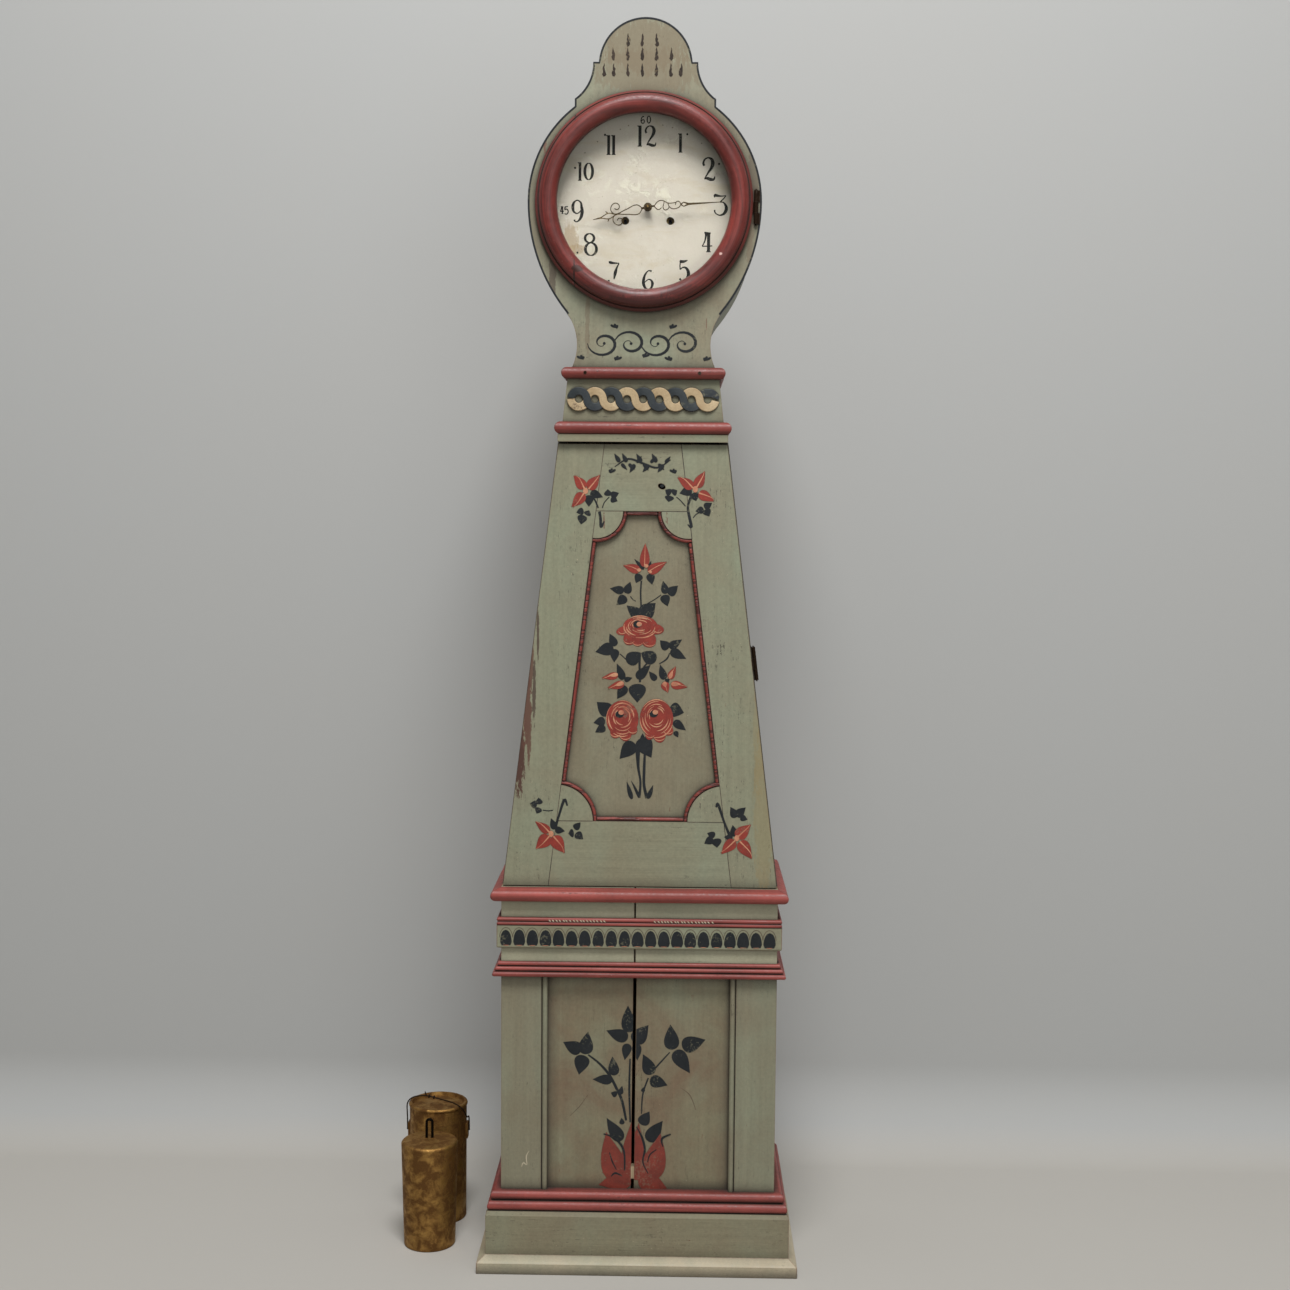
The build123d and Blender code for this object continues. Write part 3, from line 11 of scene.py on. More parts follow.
import bmesh
import bpy
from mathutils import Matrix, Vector


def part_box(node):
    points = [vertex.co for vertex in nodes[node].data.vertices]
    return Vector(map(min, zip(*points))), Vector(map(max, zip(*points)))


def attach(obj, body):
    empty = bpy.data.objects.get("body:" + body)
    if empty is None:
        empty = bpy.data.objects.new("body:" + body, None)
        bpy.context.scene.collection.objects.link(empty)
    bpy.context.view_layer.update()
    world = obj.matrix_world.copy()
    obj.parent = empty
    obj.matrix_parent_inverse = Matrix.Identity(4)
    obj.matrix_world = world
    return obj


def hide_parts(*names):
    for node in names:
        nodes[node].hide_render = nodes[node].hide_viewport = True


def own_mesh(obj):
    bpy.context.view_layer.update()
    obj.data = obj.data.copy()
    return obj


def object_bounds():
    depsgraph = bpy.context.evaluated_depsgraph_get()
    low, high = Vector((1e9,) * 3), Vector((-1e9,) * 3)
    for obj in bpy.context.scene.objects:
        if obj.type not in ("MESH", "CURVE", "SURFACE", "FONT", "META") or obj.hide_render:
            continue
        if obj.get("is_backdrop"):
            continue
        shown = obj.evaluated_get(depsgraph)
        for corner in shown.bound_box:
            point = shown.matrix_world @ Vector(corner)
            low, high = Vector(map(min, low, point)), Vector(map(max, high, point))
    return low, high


MM = 0.001
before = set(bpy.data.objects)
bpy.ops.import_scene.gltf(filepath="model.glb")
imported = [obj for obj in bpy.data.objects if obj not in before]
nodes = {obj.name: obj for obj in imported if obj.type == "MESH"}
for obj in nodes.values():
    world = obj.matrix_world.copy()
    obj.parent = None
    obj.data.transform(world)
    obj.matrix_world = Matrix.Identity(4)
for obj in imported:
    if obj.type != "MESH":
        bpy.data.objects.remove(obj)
cad_box = [list(corner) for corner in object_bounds()]

# %% [markdown]
# ## Writing node trees down
# A material is a tree of small nodes. Wiring them one call at a time is long-winded, so a tree is wrapped in
# a class, and each of its methods adds one node and hands back what that node puts out. A value that is a
# socket becomes a wire. A text is a colour, written as on a paint card. Anything else is typed in.
# %% Helpers for node trees


def tint(code):
    """A colour of six hex digits, turned into linear light."""
    levels = [int(code[i : i + 2], 16) / 255 for i in (0, 2, 4)]
    return tuple(v / 12.92 if v <= 0.04045 else ((v + 0.055) / 1.055) ** 2.4 for v in levels) + (1.0,)


class Tree:
    """A node tree, with one method for each kind of node that this clock needs."""

    def __init__(self, tree):
        self.tree = tree

    def plug(self, socket, value):
        if isinstance(value, bpy.types.NodeSocket):
            self.tree.links.new(value, socket)
        else:
            socket.default_value = tint(value) if isinstance(value, str) else value

    def add(self, kind, wires=None, **settings):
        """Any node; wires maps the names or numbers of its inputs to what goes in."""
        node = self.tree.nodes.new("ShaderNode" + kind)
        for key, value in settings.items():
            setattr(node, key, value)
        for key, value in (wires or {}).items():
            self.plug(node.inputs[key], value)
        return node

    def place(self):
        """Where a point is on the clock, in metres."""
        return self.add("TexCoord").outputs["Object"]

    def calc(self, operation, *values, clamp=False):
        return self.add("Math", dict(enumerate(values)), operation=operation, use_clamp=clamp).outputs[0]

    def times(self, first, *others):
        for other in others:
            first = self.calc("MULTIPLY", first, other)
        return first

    def vector(self, operation, *values):
        outputs = self.add("VectorMath", dict(enumerate(values)), operation=operation).outputs
        return outputs["Value"] if operation in ("LENGTH", "DOT_PRODUCT") else outputs[0]

    def axis(self, vector, name):
        return self.add("SeparateXYZ", {0: vector}).outputs[name]

    def span(self, value, low, high, start=0.0, end=1.0):
        """Stretch low..high of a value over start..end, and stop there."""
        wires = {"Value": value, "From Min": low, "From Max": high, "To Min": start, "To Max": end}
        return self.add("MapRange", wires).outputs["Result"]

    def blend(self, share, first, second):
        """Blend two colours: share 0 keeps the first."""
        return self.add("Mix", {0: share, 6: first, 7: second}, data_type="RGBA").outputs[2]

    def lit(self, colour, brightness):
        return self.add("HueSaturation", {"Value": brightness, "Color": colour}).outputs[0]

    def noise(self, place, size, detail=3.0, roughness=0.55, distortion=0.0):
        wires = {"Vector": place, "Scale": size, "Detail": detail}
        wires.update({"Roughness": roughness, "Distortion": distortion})
        return self.add("TexNoise", wires).outputs["Fac"]

    def use(self, group, **values):
        """Place a group in this tree with its own values, and hand back all that it puts out."""
        return self.add("Group", values, node_tree=group.tree).outputs


class Group(Tree):
    """A shared effect: a node group whose inputs are named and have usual values."""

    def __init__(self, name, inputs, outputs):
        super().__init__(bpy.data.node_groups.new(name, "ShaderNodeTree"))
        kinds = {float: "NodeSocketFloat", str: "NodeSocketColor", tuple: "NodeSocketVector"}
        for label, usual in inputs.items():
            kind = kinds[type(usual)]
            socket = self.tree.interface.new_socket(label, in_out="INPUT", socket_type=kind)
            socket.default_value = tint(usual) if isinstance(usual, str) else usual
        for label in outputs.split():
            kind = "NodeSocketColor" if label == "Colour" else "NodeSocketFloat"
            self.tree.interface.new_socket(label, in_out="OUTPUT", socket_type=kind)
        self.came = self.tree.nodes.new("NodeGroupInput").outputs
        self.went = self.tree.nodes.new("NodeGroupOutput").inputs

    def seeded_place(self, axes="XZ"):
        """Where a point is, moved by the group's seed, so that no two finishes break up alike."""
        shift = self.add("CombineXYZ", {axis: self.came["Seed"] for axis in axes}).outputs[0]
        return self.vector("ADD", self.place(), shift)

    def send(self, **values):
        for label, value in values.items():
            self.tree.links.new(value, self.went[label])
        print(self.tree.name + ":", len(self.tree.nodes), "nodes")


# %% [markdown]
# ## Timber under the paint
# Pine is planed along the board, and its hard and soft rings still show as long ridges under thin paint.
# Every piece keeps the clock's own coordinates, so stretching a noise along one axis draws that grain. The
# group takes the stretch as a vector: small along the board, large across it. A turned ring was scored
# round and round by the lathe instead, so there the noise follows the distance from the ring's centre.
# %% Group: board grain
UPRIGHT = (70.0, 70.0, 2.2)
LEVEL = (2.2, 70.0, 70.0)
BEZEL_X, BEZEL_Z = -0.001, 1.786
TURNED_LINES = 90.0

grain = Group("Board grain", {"Stretch": UPRIGHT, "Seed": 0.0, "Turned": 0.0}, "Streaks Ridges Brush")
place = grain.place()
seed_shift = grain.add("CombineXYZ", {axis: grain.came["Seed"] for axis in "XYZ"}).outputs[0]
straight = grain.vector("MULTIPLY_ADD", place, grain.came["Stretch"], seed_shift)
arm = grain.vector("SUBTRACT", place, (BEZEL_X, 0.0, BEZEL_Z))
arm = grain.vector("MULTIPLY", arm, (1.0, 0.0, 1.0))
reach = grain.calc("ADD", grain.vector("LENGTH", arm), grain.axis(place, "Y"))
reach = grain.times(reach, TURNED_LINES)
outward = grain.add("CombineXYZ", {"X": reach, "Y": reach, "Z": reach}).outputs[0]
turned = grain.vector("MULTIPLY_ADD", grain.vector("NORMALIZE", arm), (1.3, 1.3, 1.3), outward)
ways = {0: grain.came["Turned"], 4: straight, 5: turned}
along = grain.add("Mix", ways, data_type="VECTOR").outputs[1]
rings = grain.noise(along, 0.9, 4.0, 0.6, 0.8)
hairs = grain.noise(along, 7.0, 3.0, 0.7)
grain.send(
    Streaks=grain.noise(along, 1.6, 6.0, 0.62, 0.3),
    Ridges=grain.calc("MULTIPLY_ADD", hairs, 0.35, rings),
    Brush=grain.noise(along, 12.0, 2.0, 0.6),
)

# %% [markdown]
# ## Where hands and dust get to
# Paint wears off along edges that stick out, and corners are darker with dirt and with painted shade. The
# Bevel node rounds edges in the shading only: where its normal leaves the true one there is an edge. The
# Ambient Occlusion node counts how much of the sky a point sees, so a corner is dark in it; where a painted
# or bare surface is darkened by it, that is painted shade. Noise breaks the edges up.
# %% Group: edges and corners
edges = Group("Edges and corners", {"Reach": 0.0025, "Depth": 0.022, "Ragged": 0.5}, "Edge Corner")
true_normal = edges.add("NewGeometry").outputs["Normal"]
rounded = edges.add("Bevel", {"Radius": edges.came["Reach"]}, samples=4).outputs[0]
sharp = edges.span(edges.vector("DOT_PRODUCT", rounded, true_normal), 0.995, 0.82)
ragged = edges.span(edges.noise(edges.place(), 90.0, 6.0, 0.7), 0.35, 0.62)
kept = edges.calc("MULTIPLY_ADD", edges.came["Ragged"], edges.calc("SUBTRACT", ragged, 1.0), 1.0)
seen = edges.add("AmbientOcclusion", {"Distance": edges.came["Depth"]}, samples=5).outputs["AO"]
edges.send(Edge=edges.times(sharp, kept), Corner=edges.span(seen, 0.95, 0.48))

# %% [markdown]
# ## Old distemper and oil paint
# The green was brushed on thinly and has aged for two centuries. It has drifted to brown in clouds,
# it is streaked along the boards, and small dark flecks show where it has come off the ridges. Dirt and
# painted shade darken the corners. One group does all of this, and each material picks its own colours and
# strengths.
# %% Group: old paint
old_paint = Group(
    "Old paint",
    {
        "Paint": "82816d", "Drift": "7d7058", "Fresh": "86907a", "Soot_and_shade": "2b2620", "Under": "6b4536",
        "Chips": "b4a78f", "Stretch": UPRIGHT, "Seed": 0.0, "Turned": 0.0, "Clouds": 0.5, "Bloom": 0.5,
        "Streak": 0.15, "Flecks": 0.75, "Wear": 0.7, "Grime": 0.95, "Gloss": 0.55,
    },
    "Colour Roughness Height",
)
came = old_paint.came
spot = old_paint.seeded_place()
board = old_paint.use(grain, Stretch=came["Stretch"], Seed=came["Seed"], Turned=came["Turned"])
edge_and_corner = old_paint.use(edges, Depth=0.022)

# The pot colour, fresher in tall blooms, browner in round clouds, and streaked along the board.
tall = old_paint.vector("MULTIPLY", spot, (6.5, 6.5, 1.7))
bloom = old_paint.span(old_paint.noise(tall, 1.0, 5.0, 0.6, 0.4), 0.46, 0.66)
colour = old_paint.blend(old_paint.times(bloom, came["Bloom"]), came["Paint"], came["Fresh"])
clouds = old_paint.span(old_paint.noise(spot, 7.5, 7.0, 0.62, 0.5), 0.4, 0.64)
colour = old_paint.blend(old_paint.times(clouds, came["Clouds"]), colour, came["Drift"])
streaks = old_paint.span(board["Streaks"], 0.3, 0.7, -0.5, 0.5)
fine = old_paint.span(old_paint.noise(spot, 190.0, 5.0, 0.7), 0.3, 0.7, -0.24, 0.24)
tone = old_paint.calc("MULTIPLY_ADD", streaks, came["Streak"], old_paint.times(fine, 0.45))
colour = old_paint.lit(colour, old_paint.calc("ADD", tone, 1.0))

# Dark flecks and pale chips, both gathered in patches.
patch = old_paint.span(old_paint.noise(spot, 9.0, 4.0), 0.46, 0.66)
fleck_field = old_paint.times(old_paint.noise(spot, 150.0, 5.0, 0.75), board["Brush"])
flecks = old_paint.times(old_paint.span(fleck_field, 0.34, 0.375), patch, came["Flecks"])
colour = old_paint.blend(flecks, colour, came["Soot_and_shade"])
chips = old_paint.times(old_paint.span(old_paint.noise(spot, 340.0, 2.0, 0.5), 0.715, 0.735), patch)
colour = old_paint.blend(old_paint.times(chips, 0.7), colour, came["Chips"])

# The ground coat shows on worn edges and in scars, and dirt and painted shade darken everything in the
# corners.
scar_field = old_paint.times(old_paint.noise(spot, 21.0, 8.0, 0.75), board["Streaks"])
scars = old_paint.times(old_paint.span(scar_field, 0.4, 0.43), came["Wear"])
bare = old_paint.calc("MAXIMUM", old_paint.times(edge_and_corner["Edge"], came["Wear"]), scars)
colour = old_paint.blend(bare, colour, came["Under"])
# Dirt and painted shade: the colour darkens where the Ambient Occlusion node finds a corner.
corner_dirt_and_shade = old_paint.calc("MULTIPLY", edge_and_corner["Corner"], came["Grime"], clamp=True)
colour = old_paint.blend(corner_dirt_and_shade, colour, came["Soot_and_shade"])

relief = old_paint.calc("MULTIPLY_ADD", board["Brush"], 0.3, board["Ridges"])
relief = old_paint.calc("MULTIPLY_ADD", bare, -0.5, relief)
relief = old_paint.calc("MULTIPLY_ADD", flecks, -0.4, relief)
dull = old_paint.calc("ADD", bare, corner_dirt_and_shade, clamp=True)
sheen = old_paint.calc("MULTIPLY_ADD", dull, 0.3, came["Gloss"])
sheen = old_paint.calc("MULTIPLY_ADD", fine, 0.5, sheen, clamp=True)
old_paint.send(Colour=colour, Roughness=sheen, Height=relief)

# %% [markdown]
# ## Bare timber
# The inside was never painted. Old pine goes the colour of weak tea, with darker hard rings. One group of
# rings serves the pine, the ash of the pendulum rod, and the unpainted backs of the painted boards.
# %% Group: bare wood
bare_wood = Group(
    "Bare wood", {"Soft": "a98a65", "Hard": "7c5c3e", "Stretch": UPRIGHT, "Seed": 0.0},
    "Colour Roughness Height",
)
board = bare_wood.use(grain, Stretch=bare_wood.came["Stretch"], Seed=bare_wood.came["Seed"])
edge_and_corner = bare_wood.use(edges, Depth=0.04)
hard_rings = bare_wood.span(board["Ridges"], 0.45, 0.85)
colour = bare_wood.blend(hard_rings, bare_wood.came["Soft"], bare_wood.came["Hard"])
# Painted shade: the bare wood is darkened in its corners.
colour = bare_wood.blend(bare_wood.times(edge_and_corner["Corner"], 0.5), colour, "3a2a1c")
dryness = bare_wood.span(board["Brush"], 0.3, 0.7, 0.6, 0.8)
bare_wood.send(Colour=colour, Roughness=dryness, Height=board["Ridges"])

# %% [markdown]
# ## A finish
# The shader itself stays in the material. A finish starts as a material with its shader ready, and ends by
# wiring a colour, a roughness and a bump height to it. Values that are the same all over, such as the
# metallic share, are typed straight into the shader's own sockets.
# %% A material with its shader


class Finish(Tree):
    """A material's tree with a Principled shader already wired to its output."""

    def __init__(self, name):
        self.material = bpy.data.materials.new(name)
        self.material.use_nodes = True
        super().__init__(self.material.node_tree)
        self.tree.nodes.clear()
        self.shader = self.add("BsdfPrincipled")
        self.output = self.add("OutputMaterial", {"Surface": self.shader.outputs[0]})

    def dress(self, colour, roughness, height, depth, **fixed):
        """Wire the shader: depth is how far full height stands up, in metres. Returns the material."""
        bump = self.add("Bump", {"Height": height, "Distance": depth, "Strength": 1.0}).outputs[0]
        for label, value in (("Base Color", colour), ("Roughness", roughness), ("Normal", bump)):
            self.plug(self.shader.inputs[label], value)
        for label, value in fixed.items():
            self.shader.inputs[label.replace("_", " ")].default_value = value
        return self.material


# %% [markdown]
# ## Painted boards
# Most of the clock wears old paint over timber. Some boards need more: places where the paint has peeled or
# stained, an edge in another colour, beads nicked across with a knife, or a face inside the case that never
# saw a brush. Each of these is one more step over the coat.
# %% A board of old paint


def ragged_patch(finish, place, x, z, rx, rz):
    """1 inside a ragged oval on the front of the clock, 0 outside; its place and size are in millimetres."""
    away = finish.vector("SUBTRACT", place, (x * MM, 0.0, z * MM))
    away = finish.vector("MULTIPLY", away, (1 / (rx * MM), 0.0, 1 / (rz * MM)))
    fray = finish.noise(finish.vector("MULTIPLY", place, (1.0, 1.0, 0.3)), 170.0, 8.0, 0.78)
    return finish.span(finish.calc("MULTIPLY_ADD", fray, -2.8, finish.vector("LENGTH", away)), -0.3, -0.5)


def unpainted(finish, side):
    """1 on faces that look into the case: the "back" of a front board, the "inner" face of a side board."""
    coords = finish.add("TexCoord").outputs
    normal = finish.add("SeparateXYZ", {0: coords["Normal"]}).outputs
    if side == "back":
        return finish.span(normal["Y"], 0.5, 0.7)
    arm = finish.vector("SUBTRACT", coords["Object"], (0.0, 0.0, BEZEL_Z))
    arm = finish.add("SeparateXYZ", {0: arm}).outputs
    outward = finish.calc("MULTIPLY_ADD", arm["X"], normal["X"], finish.times(arm["Z"], normal["Z"]))
    return finish.span(outward, -0.005, -0.02)


def knife_nicks(finish, strength):
    """1 where an upright bead is notched across, in runs."""
    place = finish.place()
    across = finish.vector("MULTIPLY", place, (18.0, 18.0, 190.0))
    cuts = finish.span(finish.noise(across, 1.0, 2.0), 0.5, 0.56)
    runs = finish.span(finish.noise(place, 7.0, 2.0), 0.42, 0.5)
    return finish.times(cuts, runs, strength)


def painted(name, patches=(), edge_colour=None, nicks=0.0, bare=None, **choices):
    """A coat of old paint with its own colours, grain direction and wear.

    A patch is (x, z, rx, rz, strength, colour). edge_colour is for a board whose thickness is painted
    in another colour than its face. nicks is how strongly a bead is notched. bare names the side that
    was never painted, "back" or "inner".
    """
    finish = Finish(name)
    coat = finish.use(old_paint, **choices)
    colour, roughness, height = coat["Colour"], coat["Roughness"], coat["Height"]
    for x, z, rx, rz, strength, patch_colour in patches:
        share = finish.times(ragged_patch(finish, finish.place(), x, z, rx, rz), strength)
        colour = finish.blend(share, colour, patch_colour)
    if edge_colour:
        facing = finish.axis(finish.add("TexCoord").outputs["Normal"], "Y")
        sideways = finish.span(finish.calc("ABSOLUTE", facing), 0.6, 0.3)
        colour = finish.blend(sideways, colour, edge_colour)
    if bare:
        wood = finish.use(bare_wood, Stretch=choices.get("Stretch", UPRIGHT), Seed=choices["Seed"])
        inside = unpainted(finish, bare)
        colour = finish.blend(inside, colour, wood["Colour"])
        roughness = finish.calc("MAXIMUM", roughness, finish.times(inside, wood["Roughness"]))
    if nicks:
        cuts = knife_nicks(finish, nicks)
        colour = finish.blend(cuts, colour, "3d1c17")
        height = finish.calc("MULTIPLY_ADD", cuts, -2.5, height)
    return finish.dress(colour, roughness, height, depth=0.0004)


# %% [markdown]
# ## The greens
# One pot of grey-green, but it has aged differently: the trunk stays greenest, the base has turned brown,
# and the skirting and the boards of the waist are the palest. Boards that run up the clock and boards that
# run across it differ mostly in which way their grain is stretched.
# %% Green paints
PEELED = [
    (-203, 905, 10, 85, 1.0, "4c3026"), (-192, 965, 8, 70, 0.95, "5b3a2e"),
    (-184, 1035, 5, 50, 0.85, "5b3a2e"), (-187, 925, 4, 60, 0.95, "5e4235"),
    (-178, 985, 3, 50, 0.9, "4a3a2f"), (-172, 1080, 2, 40, 0.9, "4a3a2f"),
]
STAINED = [(208, 800, 17, 150, 0.3, "8d7746"), (197, 930, 9, 110, 0.22, "8d7746")]
NECK_WORN = [
    (-150, 1655, 6, 60, 0.75, "4f4237"), (-163, 1900, 4, 40, 0.7, "6b3a2e"),
    (176, 1820, 8, 60, 0.6, "54473a"), (172, 1735, 6, 50, 0.5, "6b5a47"),
    (0, 2035, 75, 42, 0.6, "75664f"), (0, 1995, 85, 36, 0.5, "75664f"), (-92, 1600, 4, 50, 0.5, "6b5a47"),
]
stile_green = painted(
    "stile_green", bare="back", patches=PEELED + STAINED, Paint="84856e", Drift="817963", Seed=1.7
)
rail_green = painted("rail_green", bare="back", Paint="84836c", Drift="807860", Stretch=LEVEL, Seed=4.1)
panel_green = painted(
    "panel_green", bare="back", Paint="7f7862", Drift="766b55", Seed=7.9, Clouds=0.7, Bloom=0.3
)
base_green = painted(
    "base_green", bare="back", Paint="7a745c", Drift="725f4a", Seed=12.3, Clouds=0.9, Bloom=0.4
)
pilaster_green = painted("pilaster_green", Paint="7f7b66", Drift="776c57", Seed=15.1)
plinth_green = painted("plinth_green", Paint="807b63", Drift="776a55", Stretch=LEVEL, Seed=19.6)
skirt_green = painted("skirt_green", Paint="b3a88f", Drift="9f9076", Stretch=LEVEL, Seed=20.7)
waist_green = painted(
    "waist_green", Paint="a9a78e", Drift="99917a", Stretch=LEVEL, Seed=23.0, Grime=0.6
)
frieze_green = painted("frieze_green", Paint="84836c", Drift="7e755e", Stretch=LEVEL, Seed=24.3)
head_green = painted(
    "head_green", bare="back", patches=NECK_WORN, edge_colour="33383a",
    Paint="868570", Drift="7e725c", Seed=27.4, Clouds=0.7,
)
side_green = painted("side_green", bare="inner", Paint="7d7d68", Drift="756d58", Seed=31.2)
print("eleven greens")

# %% [markdown]
# ## The reds
# Brick-red oil paint, glossier than the green and rubbed through on the rounds. A level and an upright
# version serve the mouldings and the door beads. The turned bezel is streaked round its face instead, and
# carries painted shade along its foot, an open joint and a few scars.
# %% Red paints
RED = {
    "Paint": "90413a", "Drift": "692821", "Under": "43221b", "Chips": "b9877b", "Fresh": "8e433a",
    "Gloss": 0.5, "Flecks": 0.95, "Clouds": 0.6,
}
BEZEL_RED = {**RED, "Paint": "6c2924", "Drift": "531c18", "Fresh": "7a2f27", "Gloss": 0.44, "Clouds": 0.85}
# The first three patches are painted shade along the bezel's foot; the rest are an open joint and scars.
BEZEL_SHADE_AND_SCARS = [
    (0, 1618, 120, 13, 0.55, "32130f"), (-70, 1640, 60, 10, 0.4, "32130f"),
    (90, 1640, 60, 10, 0.4, "32130f"), (-113, 1666, 1.4, 24, 0.95, "1f0f0d"),
    (-113, 1924, 1.2, 14, 0.9, "1f0f0d"), (-108, 1675, 9, 5, 0.9, "32170f"),
    (124, 1700, 2, 2, 1.0, "c9a9a0"),
]
moulding_red = painted("moulding_red", Stretch=LEVEL, Seed=3.3, Streak=0.75, **RED)
roll_red = painted("roll_red", Stretch=LEVEL, Seed=9.2, Streak=0.75, **{**RED, "Paint": "7b2f28"})
bead_red = painted("bead_red", nicks=0.85, Seed=14.8, Streak=0.6, **{**RED, "Paint": "7f3228"})
bezel_red = painted("bezel_red", patches=BEZEL_SHADE_AND_SCARS, Turned=1.0, Seed=21.5, Streak=1.1, **BEZEL_RED)
print("four reds")

# %% [markdown]
# ## Brushed-on colours
# The ornament is thin oil colour laid with a small brush. It is streaked along itself, slightly glossier
# than the ground, and worn through in crumbs where the green shows again. One group does this for all the
# brushed colours and for the carved strands.
# %% Group: brushwork
brushwork = Group(
    "Brushwork", {"Paint": "2f3438", "Drift": "3a3b38", "Ground": "7b7862", "Worn": 0.5, "Seed": 0.0},
    "Colour Roughness Height",
)
spot = brushwork.seeded_place()
clouds = brushwork.span(brushwork.noise(spot, 34.0, 5.0, 0.65, 0.5), 0.38, 0.68)
colour = brushwork.blend(clouds, brushwork.came["Paint"], brushwork.came["Drift"])
bristle = brushwork.noise(spot, 420.0, 3.0, 0.6)
colour = brushwork.lit(colour, brushwork.span(bristle, 0.3, 0.7, 0.86, 1.16))
crumbs = brushwork.times(brushwork.noise(spot, 230.0, 5.0, 0.7), brushwork.noise(spot, 16.0, 4.0, 0.6))
worn = brushwork.times(brushwork.span(crumbs, 0.325, 0.355), brushwork.came["Worn"])
brushwork.send(
    Colour=brushwork.blend(worn, colour, brushwork.came["Ground"]),
    Roughness=brushwork.span(bristle, 0.3, 0.7, 0.42, 0.62),
    Height=brushwork.calc("MULTIPLY_ADD", worn, -0.6, bristle),
)

# %% [markdown]
# The painter had a blue-black, two reds, a cream and a brown. The darkest colours reflect less than usual,
# since they are matt with age, and a strong reflection would turn them grey. The palest stands for what a
# scratch or a knife laid bare.
# %% Brushed colours


def brushed(name, shine=0.5, **choices):
    """A brushed colour; shine is how strongly its surface reflects."""
    finish = Finish(name)
    coat = finish.use(brushwork, **choices)
    return finish.dress(
        coat["Colour"], coat["Roughness"], coat["Height"], depth=0.00015, Specular_IOR_Level=shine
    )


stroke_dark = brushed("stroke_dark", shine=0.25, Paint="1b1f22", Drift="24272a", Worn=0.4, Seed=1.3)
stroke_red = brushed("stroke_red", Paint="8d2f22", Drift="76251b", Worn=0.3, Seed=2.6)
stroke_red_deep = brushed("stroke_red_deep", Paint="7c2f22", Drift="64261b", Worn=0.3, Seed=3.9)
stroke_cream = brushed("stroke_cream", Paint="c08a6a", Drift="a8614a", Seed=4.8)
stroke_brown = brushed("stroke_brown", Paint="5d4a38", Drift="463a2f", Seed=5.7)
stroke_pale = brushed("stroke_pale", Paint="c6bba3", Drift="b3a68c", Worn=0.3, Seed=9.3)
ink_black = brushed(
    "ink_black", shine=0.15, Paint="0b0a0a", Drift="131110", Ground="b5ab9a", Worn=0.2, Seed=6.6
)
# Painted shade for the hollows of the gouge cuts in the crest.
gouge_shade = brushed(
    "gouge_shade", shine=0.2, Paint="28211d", Drift="3f342c", Ground="75664f", Worn=0.7, Seed=10.2
)
carved_dark = brushed("carved_dark", Paint="22292f", Drift="2d3435", Seed=7.5)
carved_pale = brushed("carved_pale", Paint="b39f7d", Drift="a18967", Ground="6e5a44", Worn=0.8, Seed=8.4)
print("ten brushed colours")

# %% [markdown]
# ## Pine and ash
# The backboard, the seat board and its posts are bare pine all over, the pendulum rod is ash, and the plug
# in the crack of the base is a paler scrap.
# %% Bare timbers


def timber(name, **choices):
    finish = Finish(name)
    wood = finish.use(bare_wood, **choices)
    return finish.dress(wood["Colour"], wood["Roughness"], wood["Height"], depth=0.0004)


pine_upright = timber("pine_upright", Seed=2.0)
pine_level = timber("pine_level", Stretch=LEVEL, Seed=6.0)
ash_rod = timber("ash_rod", Soft="a98c63", Hard="77603f", Seed=9.0)
pale_plug = timber("pale_plug", Soft="b3a283", Hard="917e62", Seed=11.0)
print("four timbers")

# %% [markdown]
# ## Metals
# Brass wheels, a bell of harder bronze, steel for the escapement and the hammer, iron for the hooks and
# hinges, and browned metal for the hands. Metal shows age as patches of tarnish that are both darker and
# rougher than the bright metal, so one group makes the patches and hands back a colour and a roughness
# together.
# %% Group: tarnish
tarnish = Group(
    "Tarnish",
    {"Bright": "c9a45c", "Dull": "6b5530", "Size": 40.0, "Amount": 0.5, "Shine": 0.3, "Seed": 0.0},
    "Colour Roughness Height",
)
came = tarnish.came
spot = tarnish.seeded_place("XY")
edge_and_corner = tarnish.use(edges, Reach=0.0015, Depth=0.012)
pits = tarnish.noise(spot, tarnish.times(came["Size"], 9.0), 3.0, 0.6)
low = tarnish.calc("SUBTRACT", 0.72, came["Amount"])
blotch = tarnish.noise(spot, came["Size"], 6.0, 0.65, 0.4)
share = tarnish.span(blotch, low, tarnish.calc("ADD", low, 0.22))
share = tarnish.calc("MAXIMUM", share, tarnish.times(edge_and_corner["Corner"], 0.8))
share = tarnish.calc("SUBTRACT", share, tarnish.times(edge_and_corner["Edge"], 0.5), clamp=True)
rough = tarnish.calc("MULTIPLY_ADD", share, 0.35, came["Shine"])
tarnish.send(
    Colour=tarnish.blend(share, came["Bright"], came["Dull"]),
    Roughness=tarnish.calc("ADD", tarnish.span(pits, 0.3, 0.7, -0.08, 0.08), rough),
    Height=tarnish.calc("MULTIPLY_ADD", share, 0.5, pits),
)

# %% [markdown]
# Two pieces change along their length. The winding squares are painted black towards the dial, as painted
# shade for the dark winding holes, and the front weight's staple is black iron above its brass-coloured
# body.
# %% Metals
SQUARES_Y, STAPLE_FOOT, BLACKENS_IN = 0.045, 0.188, 0.001


def metal(name, depth=0.0001, black=None, **choices):
    """An old metal; black is (axis, start, end): from start to end, in metres, it turns black."""
    finish = Finish(name)
    skin = finish.use(tarnish, **choices)
    colour = skin["Colour"]
    if black:
        axis, start, end = black
        colour = finish.blend(finish.span(finish.axis(finish.place(), axis), start, end), colour, "17130f")
    return finish.dress(colour, skin["Roughness"], skin["Height"], depth, Metallic=1.0)


